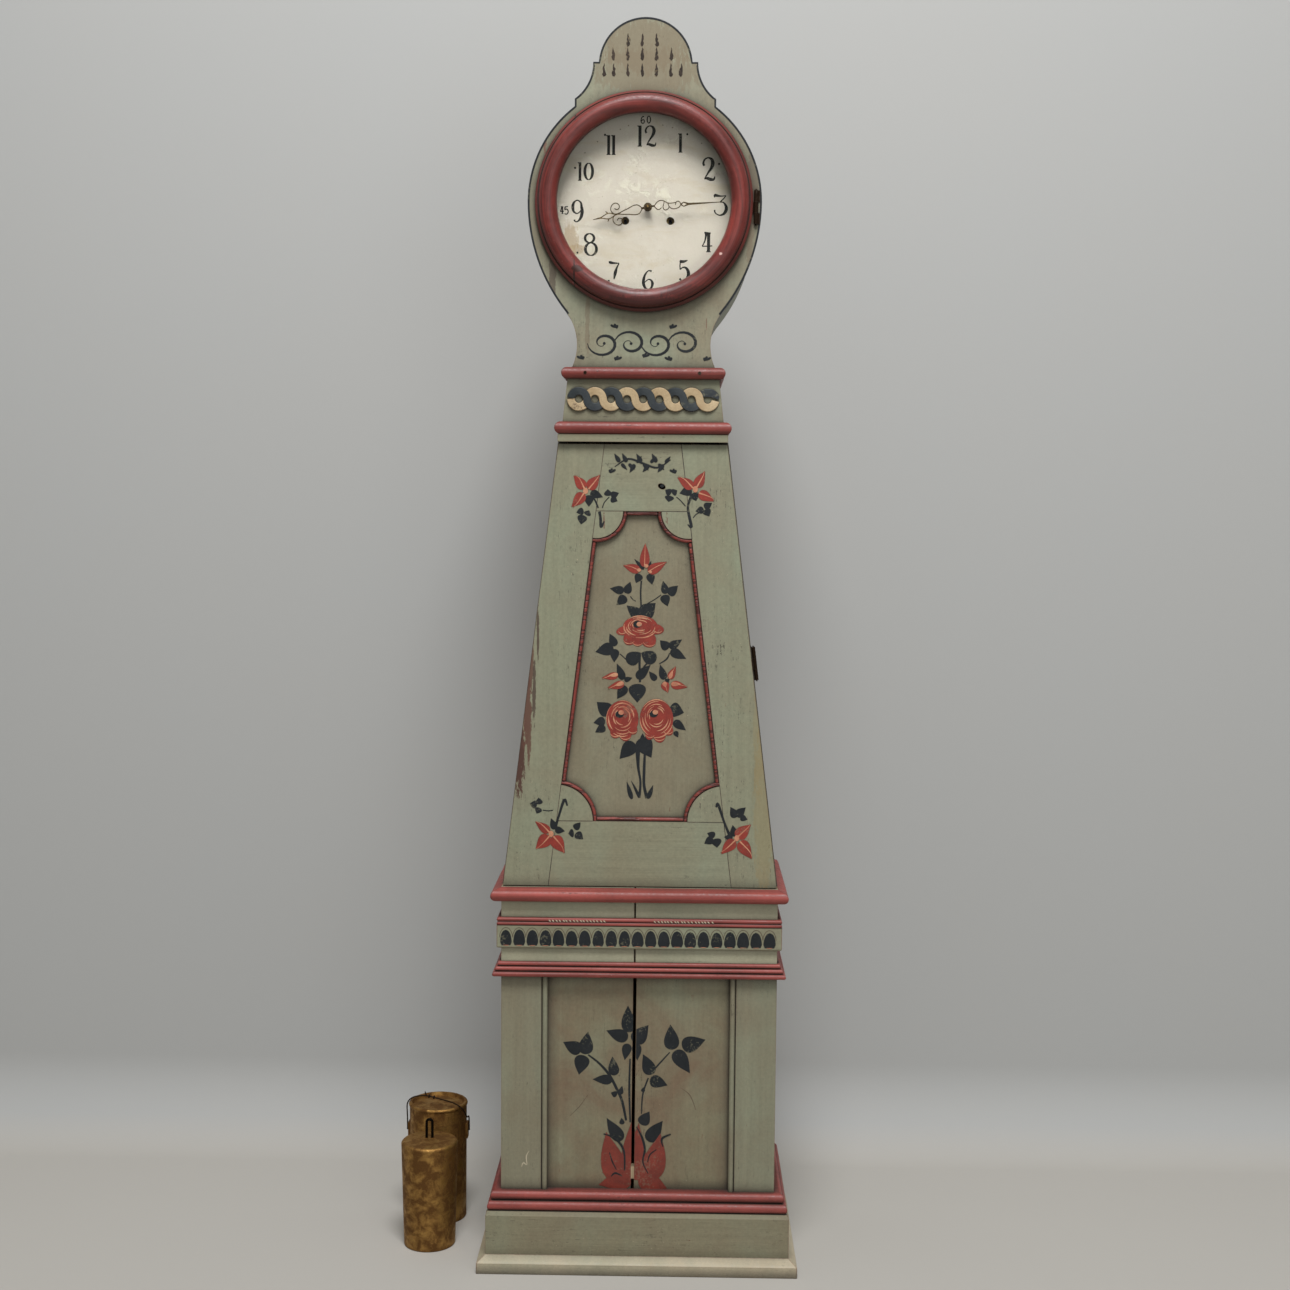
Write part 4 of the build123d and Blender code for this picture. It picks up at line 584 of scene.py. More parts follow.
brass = metal("brass", Seed=1.0)
# Painted shade: the winding squares turn black towards the dial, so the winding holes read dark.
barrel_brass = metal("barrel_brass", black=("Y", SQUARES_Y, SQUARES_Y - BLACKENS_IN), Seed=1.5)
bell_bronze = metal("bell_bronze", Bright="b08a55", Dull="5a4a35", Seed=2.0, Shine=0.25)
steel = metal("steel", Bright="b9bcc0", Dull="5c5a58", Seed=3.0, Amount=0.35)
iron = metal("iron", Bright="5a524a", Dull="33261d", Seed=4.0, Shine=0.45, depth=0.0002)
hand_metal = metal("hand_metal", Bright="7b6849", Dull="493b2a", Seed=5.0, Shine=0.45)
OLD_WEIGHT = {
    "Bright": "b18a4e", "Dull": "755430", "Size": 48.0, "Amount": 0.38, "Shine": 0.42, "depth": 0.0006
}
staple_black = ("Z", STAPLE_FOOT, STAPLE_FOOT + BLACKENS_IN)
front_weight_brass = metal("front_weight_brass", black=staple_black, Seed=6.0, **OLD_WEIGHT)
rear_weight_brass = metal("rear_weight_brass", Seed=16.0, **OLD_WEIGHT)
print("eight metals")

# %% [markdown]
# ## The dial
# The dial is a zinc disc under cream paint. It has yellowed in smears, it is stained brown at its left edge,
# and it has pin-point flecks where paint has lifted. Painted shade darkens it where it meets the bezel.
# %% Dial paint
DIAL_STAINS = ((-122, 1728, 12, 26), (-112, 1712, 14, 8))
dial = Finish("dial_paint")
place = dial.place()
tilted = {"Vector": place, "Rotation": (0.0, 0.5, 0.0), "Scale": (9.0, 9.0, 26.0)}
smear = dial.add("Mapping", tilted).outputs[0]
yellow = dial.span(dial.noise(smear, 1.4, 6.0, 0.6, 0.8), 0.5, 0.72, 0.0, 0.5)
colour = dial.blend(yellow, "c4bbb1", "b5a68a")
lifted = dial.span(dial.noise(place, 55.0, 8.0, 0.7, 0.6), 0.5, 0.56)
flakes = dial.times(lifted, dial.span(dial.noise(place, 14.0, 3.0), 0.5, 0.62))
colour = dial.blend(dial.times(flakes, 0.55), colour, "dcd6c6")
for x, z, rx, rz in DIAL_STAINS:
    colour = dial.blend(dial.times(ragged_patch(dial, place, x, z, rx, rz), 0.5), colour, "9c7d4e")
speck = dial.noise(place, 420.0, 2.0, 0.5)
patch = dial.span(dial.noise(place, 30.0, 2.0), 0.45, 0.65)
specks = dial.times(dial.span(speck, 0.70, 0.74), patch)
colour = dial.blend(specks, colour, "6f6452")
# Painted shade where the dial meets the bezel.
bezel_shade = dial.times(dial.use(edges, Depth=0.03)["Corner"], 0.38)
colour = dial.blend(bezel_shade, colour, "4d473c")
relief = dial.calc("MULTIPLY_ADD", specks, -0.6, dial.noise(place, 60.0, 5.0))
relief = dial.calc("MULTIPLY_ADD", flakes, 0.8, relief)
dial_paint = dial.dress(colour, dial.span(speck, 0.3, 0.7, 0.38, 0.5), relief, depth=0.0005)
print("dial paint:", len(dial.tree.nodes), "nodes")

# %% [markdown]
# ## Glass and gut
# The old glass is slightly rippled. It lets shadow rays through, otherwise it would darken the dial. The
# lines are twisted gut, and a fine diagonal wave gives the hairs of their strands.
# %% Glass and gut
old_glass = Finish("old_glass")
shadow = old_glass.add("LightPath").outputs["Is Shadow Ray"]
place = old_glass.place()
waves = {"Height": old_glass.noise(place, 14.0, 2.0), "Distance": 0.0003, "Strength": 0.3}
for label, value in (
    ("Alpha", old_glass.calc("MULTIPLY_ADD", shadow, -0.92, 1.0)),
    ("Normal", old_glass.add("Bump", waves).outputs[0]),
    ("Roughness", old_glass.span(old_glass.noise(place, 35.0, 4.0), 0.4, 0.7, 0.0, 0.012)),
    ("Transmission Weight", 1.0),
    ("Base Color", "f6f8f4"),
    ("IOR", 1.25),
):
    old_glass.plug(old_glass.shader.inputs[label], value)

gut_line = Finish("gut")
tilted = gut_line.add("Mapping", {"Vector": gut_line.place(), "Rotation": (0.0, 0.6, 0.0)}).outputs[0]
wave = {"Vector": tilted, "Scale": 260.0, "Distortion": 0.4}
twist = gut_line.add("TexWave", wave, bands_direction="Z").outputs["Fac"]
gut = gut_line.dress(
    gut_line.blend(twist, "8a6a43", "b79a6d"), gut_line.span(twist, 0, 1, 0.4, 0.55), twist, depth=0.0002
)
print("glass and gut made")

# %% [markdown]
# ## Which piece wears what
# Every solid gets its finish by name. Boards that run upright wear the upright grain, and rails, rolls and
# mouldings the level one.
# %% Finishes on the frame's own pieces
FINISHES = {
    stile_green: "door_stiles door_brackets",
    rail_green: "door_top_rail door_foot_rail",
    panel_green: "door_panel",
    base_green: "base_front_left base_front_right",
    pilaster_green: "base_pilasters",
    plinth_green: "plinth_boards",
    skirt_green: "skirting",
    waist_green: "waist_facings",
    frieze_green: "lunette_frieze collar_boards",
    head_green: "head_board",
    side_green: "trunk_sides base_sides head_shell",
    moulding_red: "plinth_moulding base_moulding reeded_band waist_cornice",
    roll_red: "upper_roll lower_roll",
    bead_red: "door_beads",
    bezel_red: "bezel_ring",
    pine_upright: "backboard seat_posts",
    pine_level: "seat_board",
    pale_plug: "base_crack_plug",
    ash_rod: "pendulum_rod",
    dial_paint: "dial",
    old_glass.material: "bezel_glass",
    brass: "movement_frame centre_wheel third_wheel minute_wheel hour_wheel pin_wheel fly pendulum_bob",
    barrel_brass: "great_wheel strike_great_wheel",
    steel: "escape_wheel anchor hammer",
    bell_bronze: "bell",
    hand_metal: "hour_hand minute_hand",
    iron: "trunk_hinge_fixed trunk_hinge_moving bezel_hinge_fixed bezel_hinge_moving "
    "going_hook strike_hook weight_wire",
    front_weight_brass: "front_weight",
    rear_weight_brass: "rear_weight",
}
dressed = {name: finish for finish, names in FINISHES.items() for name in names.split()}
for name, finish in dressed.items():
    nodes[name].data.materials.clear()
    nodes[name].data.materials.append(finish)
print("not dressed, because a new piece replaces each:", sorted(set(nodes) - set(dressed)))

# %% [markdown]
# ## Putting new pieces on the clock
# A new piece is a mesh written in millimetres in the clock's own frame, scaled to metres once. It rides on
# the body that carries it, so painted flowers swing out with the door. Most new pieces are closed bands:
# rows of points, one row for each step along a line, and the same number of points in every row.
# %% Helpers: a band, and a piece


def band_faces(rows, sides, first=0):
    """The skin of a closed band and a cap at each end; first is the number of its first point."""
    faces = []
    last = first + sides * (rows - 1)
    for row in range(first, last, sides):
        for k in range(sides):
            after = (k + 1) % sides
            faces.append((row + k, row + after, row + sides + after, row + sides + k))
    return faces + [tuple(range(first, first + sides)), tuple(reversed(range(last, last + sides)))]


def across(line, i):
    """The direction (x, z) at right angles to a line at its point i, and the gap between its neighbours."""
    before, after = line[max(i - 1, 0)], line[min(i + 1, len(line) - 1)]
    dx, dz = after[0] - before[0], after[1] - before[1]
    gap = math.hypot(dx, dz) or 1.0
    return -dz / gap, dx / gap, gap


def ring_points(x, z, rx, rz, start, end, steps):
    """Points along part of an ellipse, from one angle in degrees to another."""
    angles = [math.radians(start + (end - start) * i / steps) for i in range(steps + 1)]
    return [(x + rx * math.cos(a), z + rz * math.sin(a)) for a in angles]


def make_piece(name, points, faces, body, material, smooth=False):
    """Turn points in millimetres into a piece that rides a body and wears a material."""
    mesh = bpy.data.meshes.new(name)
    mesh.from_pydata([[c * MM for c in p] for p in points], [], faces)
    work = bmesh.new()
    work.from_mesh(mesh)
    bmesh.ops.recalc_face_normals(work, faces=work.faces)
    work.to_mesh(mesh)
    work.free()
    mesh.polygons.foreach_set("use_smooth", [smooth] * len(mesh.polygons))
    mesh.materials.append(material)
    piece = bpy.data.objects.new(name, mesh)
    bpy.context.scene.collection.objects.link(piece)
    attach(piece, body)
    return piece


print("helpers for new pieces are ready")

# %% [markdown]
# ## A carved guilloche
# Nine eyes in a row, and strands that wind between them. A strand goes over one eye and under the next, so
# its centre line is two half rings. It stands highest between the two eyes, and both ends are tucked under
# its neighbours. The row starts with half a strand, and a leaf closes its last eye.
# %% The strands
EYES, PITCH, EYE_Z = 9, 26.4, 1467.1
RING, BAND_HALF, COLLAR_FACE = 13.0, 6.4, 2.0
SUNK, STRAND_LOW, STRAND_HIGH = 1.0, 1.6, 4.6
HALF_RING_STEPS, LEAF_PARTS = 14, 12


def eye_x(number):
    return (number - (EYES + 1) / 2) * PITCH


def carved_band(line, halves, heights):
    """A closed band with rounded shoulders that follows a line on the collar's face."""
    points = []
    for i, ((x, z), half, height) in enumerate(zip(line, halves, heights)):
        nx, nz, _ = across(line, i)
        side, shoulder = height - 0.9, height - 0.15
        section = [(-1.0, -SUNK), (-1.0, side), (-0.86, shoulder), (0.0, height)]
        section += [(0.86, shoulder), (1.0, side), (1.0, -SUNK)]
        for share, up in section:
            points.append((x + nx * half * share, COLLAR_FACE - up, z + nz * half * share))
    return points, band_faces(len(line), len(section))


def strand(number):
    """Over one eye and under the next; strand 0 has only its lower half."""
    over = ring_points(eye_x(number), EYE_Z, RING, RING, 172, 0, HALF_RING_STEPS) if number > 0 else []
    line = over[:-1] + ring_points(eye_x(number + 1), EYE_Z, RING, RING, 180, 352, HALF_RING_STEPS)
    last = len(line) - 1
    heights = []
    for i in range(last + 1):
        along = i / last if number > 0 else 0.5 - 0.5 * i / last
        rise = min(1.0, 1.5 * math.sin(math.pi * along))
        heights.append(STRAND_LOW + (STRAND_HIGH - STRAND_LOW) * rise)
    return carved_band(line, [BAND_HALF] * len(line), heights)


def end_leaf():
    """The pointed leaf that closes the last eye from above."""
    line = ring_points(eye_x(EYES), EYE_Z - 1.0, RING + 4.0, RING - 1.0, 150, 8, LEAF_PARTS)
    halves = []
    for i in range(len(line)):
        halves.append(BAND_HALF * math.sin(math.pi * (0.06 + 0.92 * i / LEAF_PARTS)) ** 0.7 + 0.4)
    return carved_band(line, halves, [STRAND_LOW + 1.6] * len(line))


def joined(solids):
    """Several closed solids as one list of points and one of faces."""
    points, faces = [], []
    for part_points, part_faces in solids:
        start = len(points)
        points += part_points
        faces += [tuple(start + i for i in face) for face in part_faces]
    return points, faces


dark_points, dark_faces = joined([*(strand(i) for i in range(1, EYES, 2)), end_leaf()])
pale_points, pale_faces = joined(strand(i) for i in range(0, EYES, 2))
strands = make_piece("guilloche_dark", dark_points, dark_faces, "hood", carved_dark)
make_piece("guilloche_pale", pale_points, pale_faces, "hood", carved_pale)
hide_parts("guilloche")
print("guilloche:", len(dark_faces) + len(pale_faces), "faces")

# %% [markdown]
# ## The gut lines
# Each weight hangs on a line of twisted gut, three strands laid together, so its section is a trefoil that
# turns as it goes down. When the clock is wound the barrel takes the line up; here each line is made at one
# fixed length, from its foot up to the barrel.
# %% Twisted lines
LINE_HEAD, LINE_FOOT, LINE_TRAVEL, LAY = 1758.99, 745.0, 660.0, 12.0
GUT_RADIUS, GUT_SIDES, ROWS_A_TURN = 1.0, 12, 6
LINE_LENGTH = LINE_HEAD - LINE_FOOT
GUT_ROWS = round(LINE_LENGTH / LAY * ROWS_A_TURN)


def gut_points(cx, cy):
    """Rows of points round the upright line through (cx, cy)."""
    points = []
    for row in range(GUT_ROWS + 1):
        z = LINE_FOOT + LINE_LENGTH * row / GUT_ROWS
        for k in range(GUT_SIDES):
            angle = 2 * math.pi * k / GUT_SIDES
            swell = GUT_RADIUS * (1 + 0.1 * math.cos(3 * (angle - 2 * math.pi * z / LAY)))
            points.append((cx + swell * math.cos(angle), cy + swell * math.sin(angle), z))
    return points


for line_name in ("going_line", "strike_line"):
    low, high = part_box(line_name)
    cx, cy = (low.x + high.x) / 2 / MM, (low.y + high.y) / 2 / MM
    skin = band_faces(GUT_ROWS + 1, GUT_SIDES)
    gut_name = line_name.replace("line", "gut")
    twisted = make_piece(gut_name, gut_points(cx, cy), skin, "case", gut, smooth=True)
    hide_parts(line_name)
    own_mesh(twisted)

# %% [markdown]
# ## A brush
# Country flower painting is made of single strokes: press the brush down, pull, and lift. A stroke here is
# a line of points that also say how wide the brush spreads. It becomes a thin closed sheet of paint with a
# slight crown, sunk a little into the board. A leaf is one stroke, round where the brush came down and
# pointed where it lifted. A petal is the other way about: it ends broad and round.
# %% Helpers for brush strokes
CROWN, BURIED, NEXT_LIFT = 0.08, 0.3, 0.003
STROKE_SIDES = 5
LEAF_STEPS = (0.0, 0.015, 0.06, 0.13, 0.23, 0.35, 0.48, 0.62, 0.76, 0.89, 1.0)
PETAL_STEPS = tuple(1 - t for t in reversed(LEAF_STEPS))


def smooth_line(points, steps=5):
    """A curve through points with any number of coordinates."""
    ends = [points[0], *points, points[-1]]
    curve = []
    for four in zip(ends, ends[1:], ends[2:], ends[3:]):
        for t in (i / steps for i in range(steps)):
            t2, t3 = t * t, t**3
            weights = (-t + 2 * t2 - t3, 2 - 5 * t2 + 3 * t3, t + 4 * t2 - 3 * t3, t3 - t2)
            curve.append(tuple(sum(w * c for w, c in zip(weights, same)) / 2 for same in zip(*four)))
    return [*curve, tuple(points[-1])]


class Brush:
    """Gathers the strokes of one colour on one flat board, then makes them one piece."""

    def __init__(self, board_y, lift=0.2, seed=1):
        self.board, self.lift = board_y, lift
        self.points, self.faces = [], []
        self.hand = random.Random(seed)

    def stroke(self, line):
        """A stroke along points (x, z, half width)."""
        front, back = self.board - self.lift, self.board + BURIED
        self.faces += band_faces(len(line), STROKE_SIDES, first=len(self.points))
        for i, (x, z, half) in enumerate(line):
            nx, nz, _ = across(line, i)
            left, right = (x + nx * half, z + nz * half), (x - nx * half, z - nz * half)
            self.points += [
                (left[0], front, left[1]), (x, front - CROWN, z), (right[0], front, right[1]),
                (right[0], back, right[1]), (left[0], back, left[1]),
            ]
        self.lift += NEXT_LIFT

    def curve(self, points):
        """A smooth stroke through points (x, z, half width)."""
        self.stroke(smooth_line(points))

    def pressed(self, x0, z0, x1, z1, steps, halves, turn=0.0):
        """A straight or slightly turned stroke with its own half width at each step."""
        dx, dz = x1 - x0, z1 - z0
        line = []
        for t, half in zip(steps, halves):
            aside = turn * t * t
            line.append((x0 + dx * t - dz * aside, z0 + dz * t + dx * aside, half))
        self.stroke(line)

    def leaf(self, x0, z0, x1, z1, width):
        """One pressed stroke from a round foot to a pointed, slightly turned tip."""
        halves = [1.46 * width * math.sqrt(t) * (1 - t) ** 1.15 + 0.1 for t in LEAF_STEPS]
        self.pressed(x0, z0, x1, z1, LEAF_STEPS, halves, turn=self.hand.uniform(-0.09, 0.09))

    def leaves(self, rows):
        for row in rows:
            self.leaf(*row)

    def petal(self, x0, z0, x1, z1, width):
        """One pressed stroke that is broadest near its rounded end."""
        halves = [width / 2 * math.sin(math.pi * t**1.5) ** 0.5 + 0.1 for t in PETAL_STEPS]
        self.pressed(x0, z0, x1, z1, PETAL_STEPS, halves)

    def dot(self, x, z, rx, rz=None):
        turns = [math.pi * i / 12 for i in range(13)]
        self.stroke([(x - rx * math.cos(a), z, (rz or rx) * math.sin(a) + 0.05) for a in turns])

    def stems(self, rows):
        """Thin smooth lines, each given as points (x, z, width)."""
        for points in rows:
            self.curve([(x, z, width / 2 + 0.25) for x, z, width in points])

    def arc(self, x, z, rx, rz, start, end, half, thin=0.25):
        """Part of a ring that swells in its middle."""
        spots = ring_points(x, z, rx, rz, start, end, 10)
        swell = [math.sin(math.pi * i / 10) for i in range(11)]
        self.stroke([(px, pz, thin + (half - thin) * s) for (px, pz), s in zip(spots, swell)])

    def done(self, name, body, material):
        print(name, len(self.faces), "faces")
        return make_piece(name, self.points, self.faces, body, material)


# %% [markdown]
# ## Flowers on the door
# Three colours are laid one over the other: blue-black leaves and stems, brick-red petals on them, and cream
# lights last. Each leaf is written as where it starts, where its tip is, and how wide it is, in millimetres
# across and up the front of the clock. The three roses have hearts of the dark colour over the red.
# %% Strokes on the door's panel
DOOR_FACE, PANEL_FACE = 4.0, 12.0
PANEL_LEAVES = [
    (3, 1188, -13, 1205, 6), (11, 1189, 15, 1202, 5), (-3, 1180, -11, 1166, 13), (13, 1181, 17, 1163, 13),
    (-30, 1152, -53, 1156, 13), (-26, 1148, -19, 1167, 13), (-27, 1143, -41, 1128, 15),
    (40, 1148, 35, 1169, 12), (44, 1147, 60, 1161, 15), (37, 1146, 42, 1127, 15),
    (-2, 1110, -26, 1126, 18), (1, 1111, 22, 1133, 25), (-47, 1058, -76, 1048, 20),
    (-44, 1060, -52, 1081, 13), (-44, 1055, -46, 1033, 14), (45, 1057, 30, 1069, 15),
    (46, 1059, 68, 1070, 13), (49, 1054, 73, 1038, 15), (-30, 1004, -40, 1031, 12),
    (-28, 1003, -15, 1007, 8), (39, 1005, 30, 1029, 12), (25, 1004, 12, 1017, 10),
    (41, 1001, 47, 1006, 7), (-27, 994, -38, 971, 16), (-7, 1006, 14, 1030, 15), (-7, 997, -5, 966, 27),
    (-51, 948, -75, 964, 23), (-60, 935, -79, 931, 14), (-60, 925, -76, 915, 13), (48, 957, 71, 948, 23),
    (55, 935, 75, 920, 13), (57, 918, 62, 908, 8), (-11, 898, -35, 871, 23), (0, 906, 17, 873, 27),
    (3, 902, 3, 914, 7),
]
ROUND_LEAVES = [(-1, 1049, -24, 1033, 23), (0, 1049, 24, 1036, 23)]
GRASS = [(-14, 803, -24, 832, 7), (-2, 805, -13, 835, 4), (12, 804, 23, 826, 7)]
PANEL_PETALS = [
    (4, 1192, 5, 1231, 15), (-4, 1186, -31, 1195, 14), (10, 1184, 41, 1200, 16),
    (-39, 1012, -65, 1005, 11), (-29, 998, -55, 988, 12), (47, 1006, 57, 1027, 11),
    (50, 997, 77, 993, 13), (38, 1000, 44, 983, 13),
]
# Stems and veins are lists of points, each with the width of the line there.
PANEL_STEMS = [
    [(-1, 1169, 2), (-2, 1148, 2), (-1, 1126, 2)], [(-19, 1143, 1), (-15, 1138, 1), (-10, 1135, 1)],
    [(32, 1146, 1), (21, 1138, 1), (9, 1131, 1)], [(-36, 1047, 1), (-31, 1043, 1), (-26, 1038, 1)],
    [(47, 1049, 1), (42, 1039, 2), (30, 1031, 1)], [(-3, 1046, 4), (-3, 1028, 3), (-2, 1000, 3)],
    [(9, 1031, 2), (4, 1025, 2), (0, 1017, 2)], [(-5, 890, 8), (-4, 858, 4), (0, 832, 3), (-2, 806, 4)],
    [(7, 884, 3), (6, 853, 4), (6, 827, 4), (11, 805, 5)],
]
# A petal that starts below this height also gets a broad pale light.
LOWER_BUDS = 1050
ROSE_PETALS = [(-42, 1083, 15), (-27, 1064, 22), (-8, 1060, 21), (19, 1060, 25), (37, 1087, 17)]
# Each rose: x, z, its two radii, and the tips and widths of the loose petals at its foot.
ROSES = [
    (-2, 1092, 29, 19, ROSE_PETALS),
    (-31, 938, 27, 31, [(-46, 906, 20), (-24, 901, 22), (-8, 914, 18)]),
    (26, 939, 28, 32, [(12, 904, 18), (33, 899, 22), (52, 913, 19)]),
]
HEART = (7.0, 5.6)
PETAL_RIMS = (0.97, 0.84, 0.7, 0.56, 0.44)
HEART_LIGHTS = [
    (-4, 1097, 4.4), (-33, 949, 4.6), (24, 950, 4.6), (-5, 1187, 3.4), (7, 1194, 3.6), (14, 1184, 2.6),
]


def rose(red, pale, dark, x, z, rx, rz, petals):
    """A full rose: a red round, loose petals at its foot, pale rims of petals, and a dark heart."""
    red.dot(x, z, rx, rz)
    for px, pz, width in petals:
        red.petal(x, z, px, pz, width)
        pale.arc((x + 3 * px) / 4, (z + 3 * pz) / 4, width * 0.42, width * 0.3, 190, 340, 0.7)
    hand = red.hand
    for share in PETAL_RIMS:
        angle = hand.uniform(0, 90)
        centre_z = z + rz * (1 - share) * 0.25
        while angle < 320:
            sweep = hand.uniform(45, 95)
            grow = share * hand.uniform(0.96, 1.04)
            half = hand.uniform(0.6, 1.3)
            pale.arc(x, centre_z, rx * grow, rz * grow, angle, angle + sweep, half)
            angle += sweep + hand.uniform(20, 60)
    dark.dot(x - 0.18 * rx, z + 0.25 * rz, *HEART)


panel_dark = Brush(PANEL_FACE, seed=11)
panel_dark.stems(PANEL_STEMS)
panel_dark.leaves(PANEL_LEAVES + GRASS)
for row in ROUND_LEAVES:
    panel_dark.petal(*row)
panel_red = Brush(PANEL_FACE, lift=0.45, seed=12)
panel_red.leaves(PANEL_PETALS)
panel_pale = Brush(PANEL_FACE, lift=0.75, seed=13)
hearts = Brush(PANEL_FACE, lift=0.95, seed=14)
for row in ROSES:
    rose(panel_red, panel_pale, hearts, *row)
for x0, z0, x1, z1, width in PANEL_PETALS:
    panel_pale.curve([(x0, z0, 0.9), ((x0 + x1) / 2, (z0 + z1) / 2 + 1.5, 0.6), (x1, z1, 0.2)])
    if z0 < LOWER_BUDS:
        panel_pale.leaf(x0, z0 + 1, x0 + 0.6 * (x1 - x0), z0 + 0.6 * (z1 - z0) + 2, 0.55 * width)
panel_pale.lift = hearts.lift + 0.1
for x, z, size in HEART_LIGHTS:
    panel_pale.dot(x, z, size, size * 0.85)
panel_dark.done("panel_leaves", "trunk_door", stroke_dark)
panel_red.done("panel_petals", "trunk_door", stroke_red)
hearts.done("panel_hearts", "trunk_door", stroke_dark)
panel_pale.done("panel_lights", "trunk_door", stroke_cream)

# %% [markdown]
# A bud stands in each corner of the door's frame. Its three petals spread from one point and carry a pale
# light each, a pale eye lies where they meet, and its stem curls away between small leaves.
# %% Strokes on the door's frame
TOP_LEFT = {
    "petals": [(-96, 1321, -112, 1343, 16), (-89, 1320, -72, 1344, 17), (-97, 1313, -115, 1289, 17)],
    "leaves": [
        (-86, 1314, -65, 1308, 13), (-88, 1310, -89, 1291, 14), (-57, 1309, -57, 1320, 12),
        (-52, 1309, -39, 1314, 11), (-52, 1305, -41, 1301, 11), (-97, 1284, -109, 1282, 11),
        (-98, 1277, -102, 1262, 15), (-92, 1277, -88, 1285, 11),
    ],
    "stems": [
        [(-84, 1309, 2), (-78, 1301, 2), (-73, 1289, 2)],
        [(-55, 1307, 1), (-63, 1298, 1), (-66, 1289, 1)],
        [(-71, 1283, 4), (-69, 1271, 4), (-68, 1258, 4), (-63, 1267, 1)],
    ],
    "eye": (-94, 1317),
}
TOP_RIGHT = {
    "petals": [(83, 1323, 59, 1342, 16), (89, 1324, 101, 1351, 16), (93, 1315, 118, 1303, 16)],
    "leaves": [
        (81, 1320, 61, 1314, 15), (84, 1315, 89, 1302, 15), (47, 1314, 37, 1319, 11),
        (49, 1314, 57, 1319, 11), (45, 1310, 43, 1300, 14), (101, 1288, 88, 1284, 11),
        (102, 1291, 115, 1298, 11), (104, 1288, 111, 1277, 13),
    ],
    "stems": [
        [(80, 1308, 4), (75, 1293, 3), (77, 1278, 4), (81, 1259, 4), (75, 1263, 1)],
        [(56, 1308, 1), (63, 1302, 1), (71, 1293, 1)], [(98, 1284, 1), (89, 1280, 1), (84, 1274, 1)],
    ],
    "eye": (87, 1321),
}
FOOT_LEFT = {
    "petals": [(-152, 747, -175, 765, 14), (-152, 740, -174, 718, 21), (-145, 740, -128, 711, 21)],
    "leaves": [
        (-142, 752, -150, 770, 11), (-142, 751, -126, 750, 11), (-110, 753, -99, 763, 11),
        (-111, 746, -120, 745, 13), (-107, 746, -96, 735, 13), (-169, 794, -170, 805, 11),
        (-173, 793, -185, 794, 12), (-169, 788, -173, 778, 11),
    ],
    "stems": [
        [(-141, 758, 4), (-136, 775, 3), (-127, 802, 4), (-122, 792, 2)],
        [(-163, 784, 1), (-154, 783, 1), (-146, 784, 1)],
    ],
    "eye": (-149, 744),
}
FOOT_RIGHT = {
    "petals": [(162, 741, 184, 764, 20), (159, 736, 135, 715, 18), (167, 735, 188, 706, 20)],
    "leaves": [
        (158, 743, 155, 762, 12), (155, 741, 141, 741, 11), (125, 743, 113, 749, 11),
        (122, 739, 108, 730, 13), (127, 739, 130, 724, 16), (160, 775, 152, 793, 13),
        (161, 777, 175, 793, 14), (168, 776, 179, 771, 10),
    ],
    "stems": [[(149, 747, 4), (141, 766, 3), (130, 797, 4), (127, 792, 2)]],
    "eye": (162, 740),
}

# One spot of the dark colour fell on the top rail.
STRAY_SPOT = (32, 1326, 3.2, 2.6)

frame_dark = Brush(DOOR_FACE, seed=21)
frame_red = Brush(DOOR_FACE, lift=0.45, seed=22)
frame_pale = Brush(DOOR_FACE, lift=0.65, seed=23)
for corner in (TOP_LEFT, TOP_RIGHT, FOOT_LEFT, FOOT_RIGHT):
    frame_dark.stems(corner["stems"])
    frame_dark.leaves(corner["leaves"])
    frame_red.leaves(corner["petals"])
    for x0, z0, x1, z1, width in corner["petals"]:
        bow = 0.16 * width
        middle = ((x0 + 2 * x1) / 3 + bow, (z0 + 2 * z1) / 3 + bow / 2, 0.6)
        frame_pale.curve([(x0, z0, 1.3), middle, (x1, z1, 0.2)])
    frame_pale.dot(*corner["eye"], 4.2, 5.2)
frame_dark.dot(*STRAY_SPOT)
frame_dark.done("frame_leaves", "trunk_door", stroke_dark)
frame_red.done("frame_petals", "trunk_door", stroke_red)
frame_pale.done("frame_lights", "trunk_door", stroke_cream)

# %% [markdown]
# ## The tulip on the base
# The big red tulip stands in the middle of the base, where the two boards have since shrunk apart. So the
# strokes are cut at the crack: every stroke is kept once to its left and once to its right.
# %% Strokes on the base
BASE_FACE = 9.0
CRACK_TOP, CRACK_FOOT, BASE_TOP = (-8.7, -3.0), (-12.4, -6.9), 503.8
BASE_LEAVES = [
    (-15, 405, -22, 450, 23), (-18, 395, -55, 405, 21), (-7, 387, 16, 418, 25), (-18, 385, -24, 357, 15),
    (-4, 385, 0, 357, 15), (-90, 366, -88, 405, 23), (-97, 372, -128, 385, 22), (-93, 364, -102, 331, 24),
    (-40, 330, -46, 362, 17), (-44, 322, -77, 324, 16), (-36, 296, -46, 300, 10), (-30, 297, -28, 312, 8),
    (57, 376, 54, 419, 24), (74, 381, 113, 394, 26), (62, 374, 88, 336, 24), (22, 332, 11, 368, 21),
    (20, 323, 50, 316, 20), (-27, 217, -56, 253, 21), (-27, 245, -27, 256, 8), (6, 245, 19, 268, 19),
    (18, 216, 40, 253, 23), (8, 302, 9, 310, 6),
]
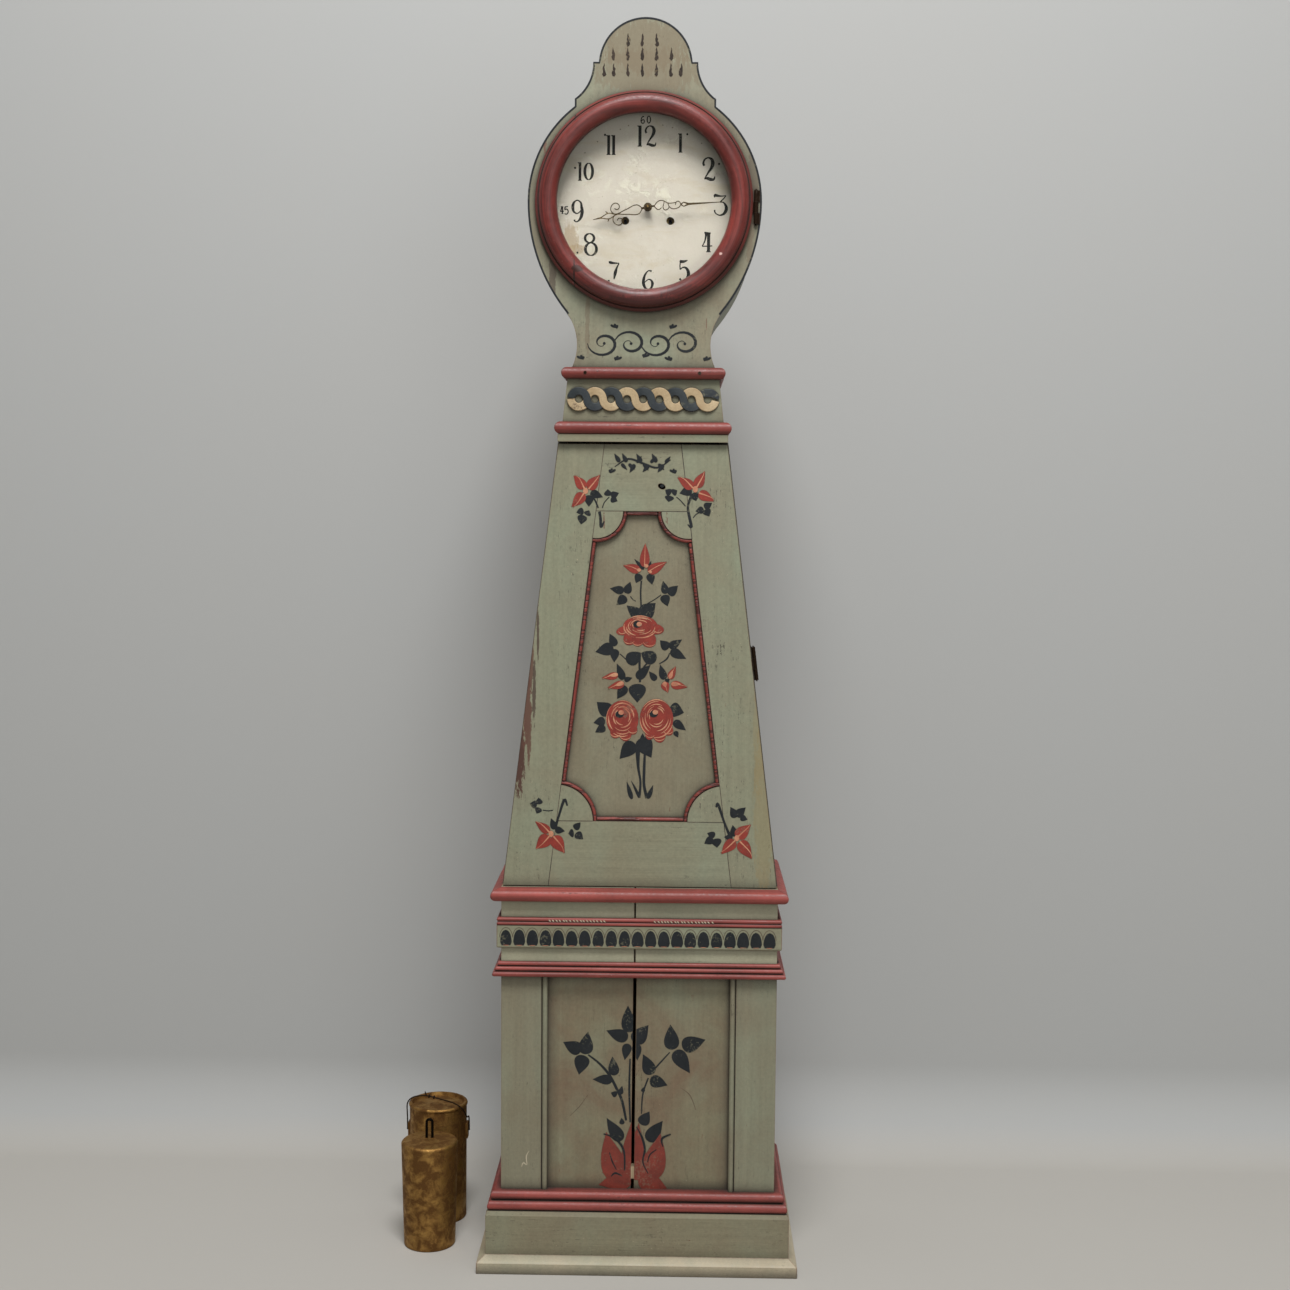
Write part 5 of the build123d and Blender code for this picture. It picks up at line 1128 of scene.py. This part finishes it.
BASE_STEMS = [
    [(-14, 359, 2), (-15, 306, 3), (-13, 249, 2)],
    [(-85, 365, 2), (-67, 351, 3), (-50, 332, 4), (-36, 306, 4), (-27, 285, 4), (-20, 252, 3)],
    [(53, 371, 1), (38, 354, 2), (26, 340, 2)], [(17, 326, 2), (8, 298, 2), (6, 264, 1)],
]
TULIP_PETALS = [
    (-32, 146, -60, 229, 40), (-13, 148, -14, 254, 29), (-1, 148, -2, 247, 30), (20, 150, 44, 228, 38),
]
TULIP_WINGS = [
    (-10, 152, -66, 139, 31), (-8, 158, -60, 163, 22), (2, 151, 51, 138, 31), (2, 157, 44, 162, 22),
]
TULIP_VEINS = [
    [(-50, 226, 1), (-32, 214, 3), (-23, 196, 3), (-22, 165, 2)],
    [(-48, 196, 1), (-43, 180, 2), (-36, 166, 1)],
    [(-2, 241, 1), (7, 223, 3), (12, 202, 3), (9, 180, 2), (18, 160, 1)],
    [(32, 202, 1), (21, 193, 2), (17, 180, 1)], [(43, 207, 1), (41, 221, 3), (56, 229, 1)],
    [(-45, 154, 1), (-38, 160, 3), (-26, 155, 1)], [(-58, 228, 1), (-46, 224, 2), (-36, 216, 1)],
]


def cut_at_crack(piece):
    """Keep what lies on the two boards and drop what would bridge the crack."""
    kept = bmesh.new()
    for foot_x, top_x, outward in zip(CRACK_FOOT, CRACK_TOP, (1.0, -1.0)):
        half = bmesh.new()
        half.from_mesh(piece.data)
        lean = (top_x - foot_x) / BASE_TOP
        bmesh.ops.bisect_plane(
            half, geom=half.verts[:] + half.edges[:] + half.faces[:], plane_co=(foot_x * MM, 0.0, 0.0),
            plane_no=(outward, 0.0, -lean * outward), clear_outer=True, dist=1e-7,
        )
        bmesh.ops.edgeloop_fill(half, edges=[edge for edge in half.edges if edge.is_boundary])
        half_mesh = bpy.data.meshes.new("half")
        half.to_mesh(half_mesh)
        half.free()
        kept.from_mesh(half_mesh)
        bpy.data.meshes.remove(half_mesh)
    bmesh.ops.recalc_face_normals(kept, faces=kept.faces)
    kept.to_mesh(piece.data)
    kept.free()


base_dark = Brush(BASE_FACE, seed=31)
base_dark.stems(BASE_STEMS)
base_dark.leaves(BASE_LEAVES)
base_red = Brush(BASE_FACE, lift=0.45, seed=32)
base_red.leaves(TULIP_PETALS + TULIP_WINGS)
base_veins = Brush(BASE_FACE, lift=0.65, seed=33)
base_veins.stems(TULIP_VEINS)
cut_at_crack(base_dark.done("base_leaves", "case", stroke_dark))
cut_at_crack(base_red.done("base_petals", "case", stroke_red_deep))
cut_at_crack(base_veins.done("base_veins", "case", stroke_dark))

# %% [markdown]
# ## Lunettes
# A row of dark arches runs along the frieze at the waist. Each has a thin brown line round it and a short
# pale line at its foot, and no two are quite alike.
# %% Arches on the frieze
FRIEZE_FACE, ARCHES, ARCH_PITCH, ARCH_SHIFT = -7.2, 21, 22.08, -2.5
ARCH_FOOT, ARCH_TALL, ARCH_STEPS = 556.5, 27.0, 14
RIM_SPRING, RIM_RISE = ARCH_FOOT + 0.45 * ARCH_TALL, 0.55 * ARCH_TALL + 3.0


def arch_stroke(x, tall, half, lean):
    """An arch as one upright stroke: broadest a fifth of the way up, and closed at its top."""
    line = []
    for t in (i / ARCH_STEPS for i in range(ARCH_STEPS + 1)):
        reach = half * (1 - t**2.7) ** 0.5 * min(1.0, 0.76 + 1.2 * t)
        line.append((x + lean * t, ARCH_FOOT + tall * t, max(reach, 0.1)))
    return line


arches = Brush(FRIEZE_FACE, lift=0.3, seed=41)
arch_rims = Brush(FRIEZE_FACE, lift=0.15, seed=42)
feet = Brush(FRIEZE_FACE, lift=0.5, seed=43)
for number in range(ARCHES):
    x = (number - (ARCHES - 1) / 2) * ARCH_PITCH + ARCH_SHIFT
    tall = ARCH_TALL * arches.hand.uniform(0.94, 1.0)
    half = arches.hand.uniform(9.5, 10.3)
    arches.stroke(arch_stroke(x, tall, half, lean=arches.hand.uniform(-0.8, 0.8)))
    rim = ring_points(x, RIM_SPRING, ARCH_PITCH / 2, RIM_RISE, 176, 4, ARCH_STEPS)
    arch_rims.stroke([(px, pz, 0.4) for px, pz in rim])
    feet.stroke([(x - half / 2, ARCH_FOOT, 0.2), (x, ARCH_FOOT - 0.2, 0.6), (x + half / 2, ARCH_FOOT, 0.2)])
arches.done("lunettes", "case", stroke_dark)
arch_rims.done("lunette_rims", "case", stroke_brown)
feet.done("lunette_feet", "case", stroke_cream)

# %% [markdown]
# ## Dial numerals
# Plain numerals run round the dial, upright, with thick and thin strokes as a flat brush gives them. Each
# figure is a list of strokes in its own small frame, in millimetres, about 34 mm tall, and is set down at
# its place and size.
# %% Figures on the dial
DIAL_FACE, FIGURE_TALL, INK_SPREAD = 23.0, 34, 1.18
# The least half width of a line, in large figures and in the small ones, which would fade otherwise.
LEAST_LARGE, LEAST_SMALL = 0.4, 0.85


def figure_ring(x, z, rx, rz, thin, thick):
    """A closed oval that is thick at its sides."""
    spots = ring_points(x, z, rx, rz, 90, 450, 24)
    return [(px, pz, thin + thick * abs(px - x) / rx) for px, pz in spots]


FIGURES = {
    "0": [figure_ring(0, 0, 7.0, 14.6, 0.6, 1.6)],
    "1": [
        [(0, 16.6, 2.1), (0, 0, 2.1), (0, -16, 2.1)],
        [(-4.4, 16.2, 0.5), (-1.5, 15.2, 1.2), (1, 15.4, 0.8)],
        [(-3.6, -16.4, 0.6), (3.6, -16.4, 0.6)],
    ],
    "2": [
        smooth_line([
            (-7, 4.5, 1.4), (-8.4, 8.5, 1.3), (-6, 13.8, 1.0), (-1, 16, 0.9), (4, 13.5, 1.8),
            (5.4, 7.5, 2.3), (3.2, 1, 1.8), (-1.5, -6, 1.1), (-6.5, -14.5, 0.6),
        ]),
        smooth_line([
            (-6.8, -14.6, 0.6), (-3, -13.4, 1.6), (2, -15, 2.0), (7, -15, 1.4), (8.6, -10.5, 0.5),
        ]),
    ],
    "3": [
        smooth_line([(-9, 12, 0.5), (-8.4, 15.4, 2.0), (-4, 14.8, 1.7), (2, 14.2, 0.9), (9.8, 15, 0.6)]),
        [(9.8, 15, 0.6), (5, 9.2, 0.8), (0, 4.6, 0.8)],
        smooth_line([
            (0, 4.6, 0.8), (5.5, 4, 0.9), (9.6, -1.5, 1.9), (10.2, -7.5, 2.3), (6.5, -14, 1.8),
            (-0.5, -16.6, 0.9), (-7.5, -13, 0.8), (-8.8, -8, 1.1),
        ]),
    ],
    "4": [
        [(2.6, 14.5, 2.2), (2.6, 0, 2.2), (2.6, -15.5, 2.2)],
        smooth_line([(-4.5, 15.4, 1.2), (0, 13.8, 1.8), (6, 14.4, 0.8)]),
        smooth_line([(-1.5, 13, 1.6), (-3.4, 2, 1.0), (-7.8, -7, 0.7)]),
        [(-8, -7, 0.7), (8.8, -6.4, 0.8)],
        [(-1.4, -15.9, 0.6), (6.6, -15.9, 0.6)],
    ],
    "5": [
        smooth_line([(-7, 16.2, 1.3), (-4, 14.4, 2.1), (1, 15, 1.6), (5.8, 16.8, 0.5)]),
        [(-6.2, 14, 0.8), (-6.8, 8, 0.8), (-6.5, 1.5, 0.7)],
        smooth_line([
            (-6.5, 1.5, 0.7), (-2, 5, 1.0), (3.5, 4, 1.6), (6.9, -2, 2.3), (6.8, -9, 2.2),
            (2.5, -15.5, 1.4), (-3.5, -16.4, 0.9), (-7.3, -13, 1.5),
        ]),
    ],
    "6": [
        smooth_line([
            (6, 14.5, 1.4), (1, 15.5, 0.8), (-4, 10.5, 1.2), (-7.2, 2, 1.9), (-7.4, -7, 2.2),
            (-3.8, -14, 1.5), (1, -15.8, 0.9), (5.8, -12.5, 1.5), (7.6, -5.5, 2.0), (5.2, -0.5, 1.3),
            (0.5, 0.8, 0.8), (-5.5, -4, 0.7),
        ]),
    ],
    "7": [
        smooth_line([(-8.2, 15.6, 0.8), (-6.5, 13.6, 2.0), (0, 12.4, 1.4), (8.6, 12.4, 0.6)]),
        smooth_line([(8.6, 12.2, 0.6), (4.5, 4, 1.4), (2.2, -4, 2.3), (0, -14.5, 0.7)]),
    ],
    "8": [figure_ring(-1.5, 9.6, 7.0, 6.8, 0.7, 1.0), figure_ring(0.8, -7.2, 8.6, 9.6, 0.7, 1.2)],
    "9": [
        smooth_line([
            (6.5, 4, 1.8), (5.5, 12.5, 1.3), (0, 16.6, 0.8), (-5.5, 13.5, 1.4), (-7.4, 6.5, 2.1),
            (-6, -0.8, 1.4), (-1, -4, 0.8), (4, -1, 0.7), (6.6, 5, 0.6),
        ]),
        smooth_line([
            (6.8, 6, 1.8), (7.4, -2, 2.2), (5.5, -10, 1.9), (1, -16, 1.0), (-3.6, -16.6, 0.8),
            (-4.8, -13.6, 1.4),
        ]),
    ],
}
# Each numeral: its figure, where its middle is, and how tall it stands.
NUMERALS = [
    ("1", -8.9, 1895.5, 34), ("2", 8.6, 1895.5, 34), ("1", 57.4, 1884.5, 31), ("2", 104.4, 1843, 38),
    ("3", 123, 1785.1, 34), ("4", 102.3, 1725.3, 34), ("5", 65.1, 1678.9, 34), ("6", 6, 1663.3, 33),
    ("7", -50, 1678.3, 33), ("8", -88.9, 1720.4, 36), ("9", -110.5, 1774.4, 35),
    ("1", -106.7, 1838.1, 30), ("0", -92.4, 1838.1, 31), ("1", -60.0, 1880.8, 32),
    ("1", -51.8, 1880.8, 32), ("6", -4.6, 1921.1, 12), ("0", 5.4, 1921.6, 13), ("4", -136, 1776, 12),
    ("5", -128.6, 1775.4, 13),
]
DOTS = [(-66, 1897), (68.4, 1898.5), (120.7, 1851), (-114.7, 1843.7), (-110.3, 1707), (-58.6, 1661.5)]
FAINT = [(-98.6, 1868), (-78.4, 1886), (-41, 1906), (-27.8, 1912), (28.3, 1913), (44.2, 1909), (92, 1884)]
ink = Brush(DIAL_FACE, lift=0.12, seed=51)
for figure, x, z, tall in NUMERALS:
    size = tall / FIGURE_TALL
    least = LEAST_LARGE if size > 0.5 else LEAST_SMALL
    for shape in FIGURES[figure]:
        placed = [(x + px * size, z + pz * size, INK_SPREAD * half * size) for px, pz, half in shape]
        ink.stroke([(px, pz, max(half, least)) for px, pz, half in placed])
for x, z in DOTS:
    ink.dot(x, z, 1.7)
faint = Brush(DIAL_FACE, lift=0.12, seed=52)
for x, z in FAINT:
    faint.dot(x, z, 0.9)
ink.done("dial_numerals", "case", ink_black)
faint.done("dial_minute_dots", "case", stroke_brown)

# %% [markdown]
# ## The crest
# Gouge cuts stand in three rows in the crest. They are not carved: each is one wavering dark stroke of
# painted shade for the hollow of a cut, broadest below its middle, with a short slip of the tool beside it.
# %% Gouges in the crest
CREST_FACE = 4.0
CREST_ROWS = [
    (2043.7, (-28.9, -5.5, 17.5)),
    (2021.5, (-52.4, -28.9, -5.5, 17.5, 41.3)),
    (1996.3, (-67.6, -51.5, -28.6, -5.5, 17.5, 40.8, 57.5)),
]
# A gouge cut from top to foot: height above its middle, and half width.
GOUGE = (
    (10.5, 0.2), (7.5, 1.1), (4.5, 1.5), (1.5, 2.1), (-1.5, 2.0), (-4.5, 2.7), (-7.0, 3.1), (-9.0, 2.2),
    (-10.5, 0.4),
)
gouges = Brush(CREST_FACE, seed=61)
hand = gouges.hand
for z, places in CREST_ROWS:
    for x in places:
        lean = hand.uniform(-0.06, 0.06)
        cut = []
        for up, half in GOUGE:
            cut.append((x + lean * up + hand.uniform(-0.7, 0.7), z + up, half * hand.uniform(0.6, 1.15)))
        gouges.stroke(cut)
        slip = hand.choice((-1, 1)) * hand.uniform(2.0, 3.4)
        low = z + hand.uniform(-10, 0)
        gouges.stroke([(x + slip, low, 0.2), (x + slip * 0.9, low + 3, 0.9), (x + slip * 0.7, low + 7, 0.2)])
gouges.done("crest_gouges", "hood", gouge_shade)

# %% [markdown]
# ## Neck and head
# The neck carries loose country scrollwork, and small tufts between the scrolls. A blue-black band follows
# the edge of the head, where the board's thickness was painted dark. Its line is read from the solid itself:
# an edge that belongs to only one of the front's faces is on the outline.
# %% Strokes on the head board
NECK_Z, SCROLL_REACH, SCROLL_WIDTH, SCROLL_STEPS = 1558, 24, 3.8, 26
SCROLLS = ((-66, -1), (-22, 1), (22, -1), (66, 1))
TUFTS = (
    (-44, 1582, -1), (0, 1535, 1), (44, 1582, 1), (-99, 1531, -1), (-46, 1530, 1), (45, 1530, -1),
    (100, 1530, 1),
)
RIM_HALF, RIM_ENDS = 1.5, 1600.0


def running_scroll(brush, x, z, reach, facing, thick):
    """One turn of a running scroll: it comes in from one side and curls up on itself."""
    line = []
    for share in (i / SCROLL_STEPS for i in range(SCROLL_STEPS + 1)):
        angle = math.radians(180 - facing * 470 * share)
        radius = reach * (1 - share) ** 0.75 + 2.2
        half = 0.45 + thick / 2 * math.sin(math.pi * min(1.0, share * 1.25)) ** 0.8
        line.append((x + radius * math.cos(angle), z + 0.82 * radius * math.sin(angle), half))
    brush.stroke(line)
    brush.dot(x + 1.5, z, 2.2)


def tuft(brush, x, z, facing, size=1.0):
    """Three short pressed strokes fanned from one point."""
    for turn, reach in ((150, 12), (118, 9), (85, 6)):
        angle = math.radians(turn if facing < 0 else 180 - turn)
        x1, z1 = x + reach * size * math.cos(angle), z + reach * size * math.sin(angle)
        brush.leaf(x1, z1, x, z, 3.4 * size)


def front_rim(node, face_y):
    """The outer edge of a board's front face, in order, as (x, z) in millimetres."""
    mesh = node.data
    corners = [tuple(round(1000 * vertex.co[axis], 2) for axis in (0, 2)) for vertex in mesh.vertices]
    uses, neighbours = {}, {}
    for face in mesh.polygons:
        if face.normal.y < -0.9 and abs(face.center.y - face_y * MM) < 0.0005:
            for first, second in face.edge_keys:
                ends = tuple(sorted((corners[first], corners[second])))
                uses[ends] = uses.get(ends, 0) + 1
    for a, b in (ends for ends, count in uses.items() if count == 1):
        neighbours.setdefault(a, []).append(b)
        neighbours.setdefault(b, []).append(a)
    here, rim = max(neighbours, key=lambda spot: spot[1]), []
    while here is not None and here not in rim:
        rim.append(here)
        here = next((spot for spot in neighbours[here] if spot not in rim), None)
    return rim


def rim_stroke(walk):
    """A stroke just inside a rim, on the side of the head's middle."""
    line = []
    for i, (x, z) in enumerate(walk):
        nx, nz, gap = across(walk, i)
        if gap > 0.5:
            inward = math.copysign(RIM_HALF, nz * (BEZEL_Z / MM - z) - nx * x)
            line.append((x + inward * nx, z + inward * nz, RIM_HALF))
    return line


head_dark = Brush(CREST_FACE, seed=62)
for x, facing in SCROLLS:
    running_scroll(head_dark, x, NECK_Z, SCROLL_REACH, facing, SCROLL_WIDTH)
for x, z, facing in TUFTS:
    tuft(head_dark, x, z, facing)
rim = front_rim(nodes["head_board"], CREST_FACE)
for walk in (rim, rim[:1] + rim[:0:-1]):
    low_end = next(i for i, spot in enumerate(walk) if spot[1] < RIM_ENDS)
    head_dark.stroke(rim_stroke(walk[:low_end]))
head_dark.done("head_strokes", "hood", stroke_dark)

# %% [markdown]
# ## Small marks of use
# Knife pecks cross the reeded band, two nails hold the upper roll, and shrunk joints show as dark lines on
# the door. There are scratches on the base and one on a pilaster.
# %% Pecks, nails, joints and scratches
REEDED_TOP, REEDED_FACE = 601.5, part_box("reeded_band")[0].y / MM
ROLL_FACE, NAIL_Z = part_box("upper_roll")[0].y / MM, 1509.5
PILASTER_FACE = 0.0
DOOR_FOOT, DOOR_TOP = 656.2, 1394.0
# Where the door's opening ends, and how far its brackets reach in there.
OPENING_FOOT, FOOT_BRACKET = 766.4, 61.0
OPENING_TOP, TOP_BRACKET = 1284.2, 45.0
BASE_SCRATCHES = [
    [(72, 310, 0.2), (88, 297, 0.6), (98, 272, 0.3)],
    [(-116, 258, 0.2), (-98, 277, 0.5), (-86, 295, 0.2)],
]
PALE_SCRATCH = [(-197, 172, 0.3), (-194, 179, 0.8), (-188, 176, 0.5), (-189, 190, 0.7), (-184, 200, 0.2)]


def opening_half(z):
    """Half the width between the two stiles, which lean in as they go up."""
    return 62.8 + 0.12244 * (1397.6 - z)


pecks = Brush(REEDED_FACE, lift=0.15, seed=81)
for first, last, count in ((-150, -58, 17), (26, 122, 18)):
    for i in range(count):
        x = first + (last - first) * i / (count - 1) + pecks.hand.uniform(-1, 1)
        start, end = (x - 1.6, REEDED_TOP - 1.0, 0.3), (x + 1.8, REEDED_TOP - 4.6, 0.2)
        pecks.stroke([start, (x, REEDED_TOP - 2.6, 1.1), end])
pecks.done("reeded_pecks", "case", stroke_pale)

for name, x in (("roll_nail_left", -95), ("roll_nail_right", 92)):
    nail = Brush(ROLL_FACE + 0.6, lift=0.9, seed=82)
    nail.dot(x, NAIL_Z, 2.6)
    nail.done(name, "hood", iron)

joints = Brush(DOOR_FACE, lift=0.06, seed=83)
hand = joints.hand
for side in (-1, 1):
    for low, high in ((DOOR_FOOT, OPENING_FOOT + FOOT_BRACKET), (OPENING_TOP - TOP_BRACKET, DOOR_TOP)):
        heights = [low + (high - low) * i / 5 for i in range(6)]
        joints.stroke([(side * opening_half(z), z, hand.uniform(0.2, 0.5)) for z in heights])
    for z, bracket in ((OPENING_FOOT, FOOT_BRACKET), (OPENING_TOP, TOP_BRACKET)):
        reaches = [opening_half(z) - bracket * i / 4 for i in range(5)]
        joints.stroke([(side * reach, z, hand.uniform(0.25, 0.45)) for reach in reaches])
joints.done("door_joint_lines", "trunk_door", stroke_dark)

scratches = Brush(BASE_FACE, lift=0.06, seed=84)
for points in BASE_SCRATCHES:
    scratches.curve(points)
scratches.done("base_scratches", "case", stroke_brown)
pale_scratch = Brush(PILASTER_FACE, lift=0.06, seed=85)
pale_scratch.curve(PALE_SCRATCH)
pale_scratch.done("pilaster_scratch", "case", stroke_pale)

# %% [markdown]
# ## A sprig on the top rail
# A bent twig with leaves up and down its length, and a tuft at each end.
# %% The sprig
SPRIG_Z = 1363.0
TWIG = [(-46, -6, 0.5), (-24, 7, 1.3), (0, 0, 1.5), (24, -7, 1.3), (46, 6, 0.5)]
sprig = Brush(DOOR_FACE, lift=0.5, seed=71)
sprig.curve([(x, SPRIG_Z + up, half) for x, up, half in TWIG])
for x, up in ((-38, 1), (-26, 1), (-13, -1), (-2, 1), (10, -1), (23, 1), (34, -1)):
    sprig.leaf(x, SPRIG_Z + 2 * up, x - 9, SPRIG_Z + 15 * up, 6.5)
    sprig.leaf(x + 3, SPRIG_Z - up, x + 12, SPRIG_Z - 11 * up, 5)
for x, facing in ((-54, 1), (54, -1)):
    tuft(sprig, x, 1347, facing, 0.9)
sprig.done("top_rail_sprig", "trunk_door", stroke_dark)

# %% [markdown]
# ## The floor and the wall
# The clock stands on a plain pale floor in front of a plain wall, joined by a cove so that no hard line
# shows. The wall is see-through from behind, so that the clock can be looked at from every side.
# %% Floor and wall
WALL_Y, COVE, COVE_STEPS, WALL_TOP = 0.62, 0.16, 12, 9.0
FLOOR_HALF, FLOOR_FRONT = 30.0, -30.0
profile = [(FLOOR_FRONT, 0.0)]
for step in range(COVE_STEPS + 1):
    turn = math.radians(90 * step / COVE_STEPS)
    profile.append((WALL_Y - COVE + COVE * math.sin(turn), COVE - COVE * math.cos(turn)))
profile.append((WALL_Y, WALL_TOP))
corners = [(side * FLOOR_HALF, y, z) for y, z in profile for side in (-1, 1)]
strips = [(2 * i, 2 * i + 1, 2 * i + 3, 2 * i + 2) for i in range(len(profile) - 1)]
sheet = bpy.data.meshes.new("studio_sweep")
sheet.from_pydata(corners, [], strips)
sheet.polygons.foreach_set("use_smooth", [True] * len(sheet.polygons))
sweep = bpy.data.objects.new("studio_sweep", sheet)
bpy.context.scene.collection.objects.link(sweep)
sweep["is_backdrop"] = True

paper = Finish("studio_paper")
place = paper.place()
mottle = paper.span(paper.noise(place, 3.0, 3.0), 0.3, 0.7)
climb = paper.span(paper.axis(place, "Z"), 0.0, 0.05)
colour = paper.blend(climb, "b2afa9", "abacab")
colour = paper.blend(paper.times(mottle, 0.12), colour, "aeaba6")
paper.plug(paper.shader.inputs["Base Color"], colour)
paper.plug(paper.shader.inputs["Roughness"], 0.9)
clear = paper.add("BsdfTransparent").outputs[0]
back = paper.add("NewGeometry").outputs["Backfacing"]
pick = paper.add("MixShader", {0: back, 1: paper.shader.outputs[0], 2: clear}).outputs[0]
paper.plug(paper.output.inputs["Surface"], pick)
sheet.materials.append(paper.material)
print("the wall stands", WALL_Y, "m behind the face of the pilasters")

# %% [markdown]
# ## Light and camera
# One broad soft lamp high in front gives the rolls their bright tops and dark undersides. A weak lamp on the
# right and the world fill the shadows. All three are weak enough for paint to render about as bright as it
# was mixed. The camera stands back at eye height and looks slightly down.
# %% Light and camera


def area_lamp(name, place, aim, size, power):
    """A round soft lamp that shines from one place towards another."""
    lamp = bpy.data.objects.new(name, bpy.data.lights.new(name, "AREA"))
    lamp.data.shape, lamp.data.size, lamp.data.energy = "DISK", size, power
    lamp.location = place
    lamp.rotation_euler = (Vector(aim) - Vector(place)).to_track_quat("-Z", "Y").to_euler()
    bpy.context.scene.collection.objects.link(lamp)


area_lamp("key_lamp", place=(0.1, -2.2, 5.0), aim=(0.0, 0.0, 1.1), size=1.9, power=218.0)
area_lamp("fill_lamp", place=(1.6, -4.2, 1.6), aim=(0.0, 0.0, 1.0), size=2.4, power=30.0)

world = bpy.data.worlds.new("soft_room")
bpy.context.scene.world = world
world.use_nodes = True
backdrop = world.node_tree.nodes["Background"]
backdrop.inputs["Color"].default_value = tint("cdccc9")
backdrop.inputs["Strength"].default_value = 0.48
bpy.context.scene.view_settings.view_transform = "Standard"

camera = bpy.data.objects.new("camera", bpy.data.cameras.new("camera"))
camera.data.lens, camera.data.sensor_width = 48.7, 36.0
camera.location = (0.0575, -2.8835, 1.2885)
camera.rotation_euler = [math.radians(a) for a in (85.533, -0.436, 1.056)]
bpy.context.scene.collection.objects.link(camera)
bpy.context.scene.camera = camera
print("camera", round(-camera.location.y, 2), "m in front")

# %% [markdown]
# ## Last checks
# The boxes of the imported clock and of the dressed clock are compared, and how far each side grew is
# printed, because paint and carving may add only a hair to the size.
# %% Sizes, and finish
dressed_box = [list(corner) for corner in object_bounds()]
growth = [b - a for pair in zip(cad_box, dressed_box) for a, b in zip(*pair)]
print("box grew by", [round(1000 * step, 1) for step in growth], "mm")
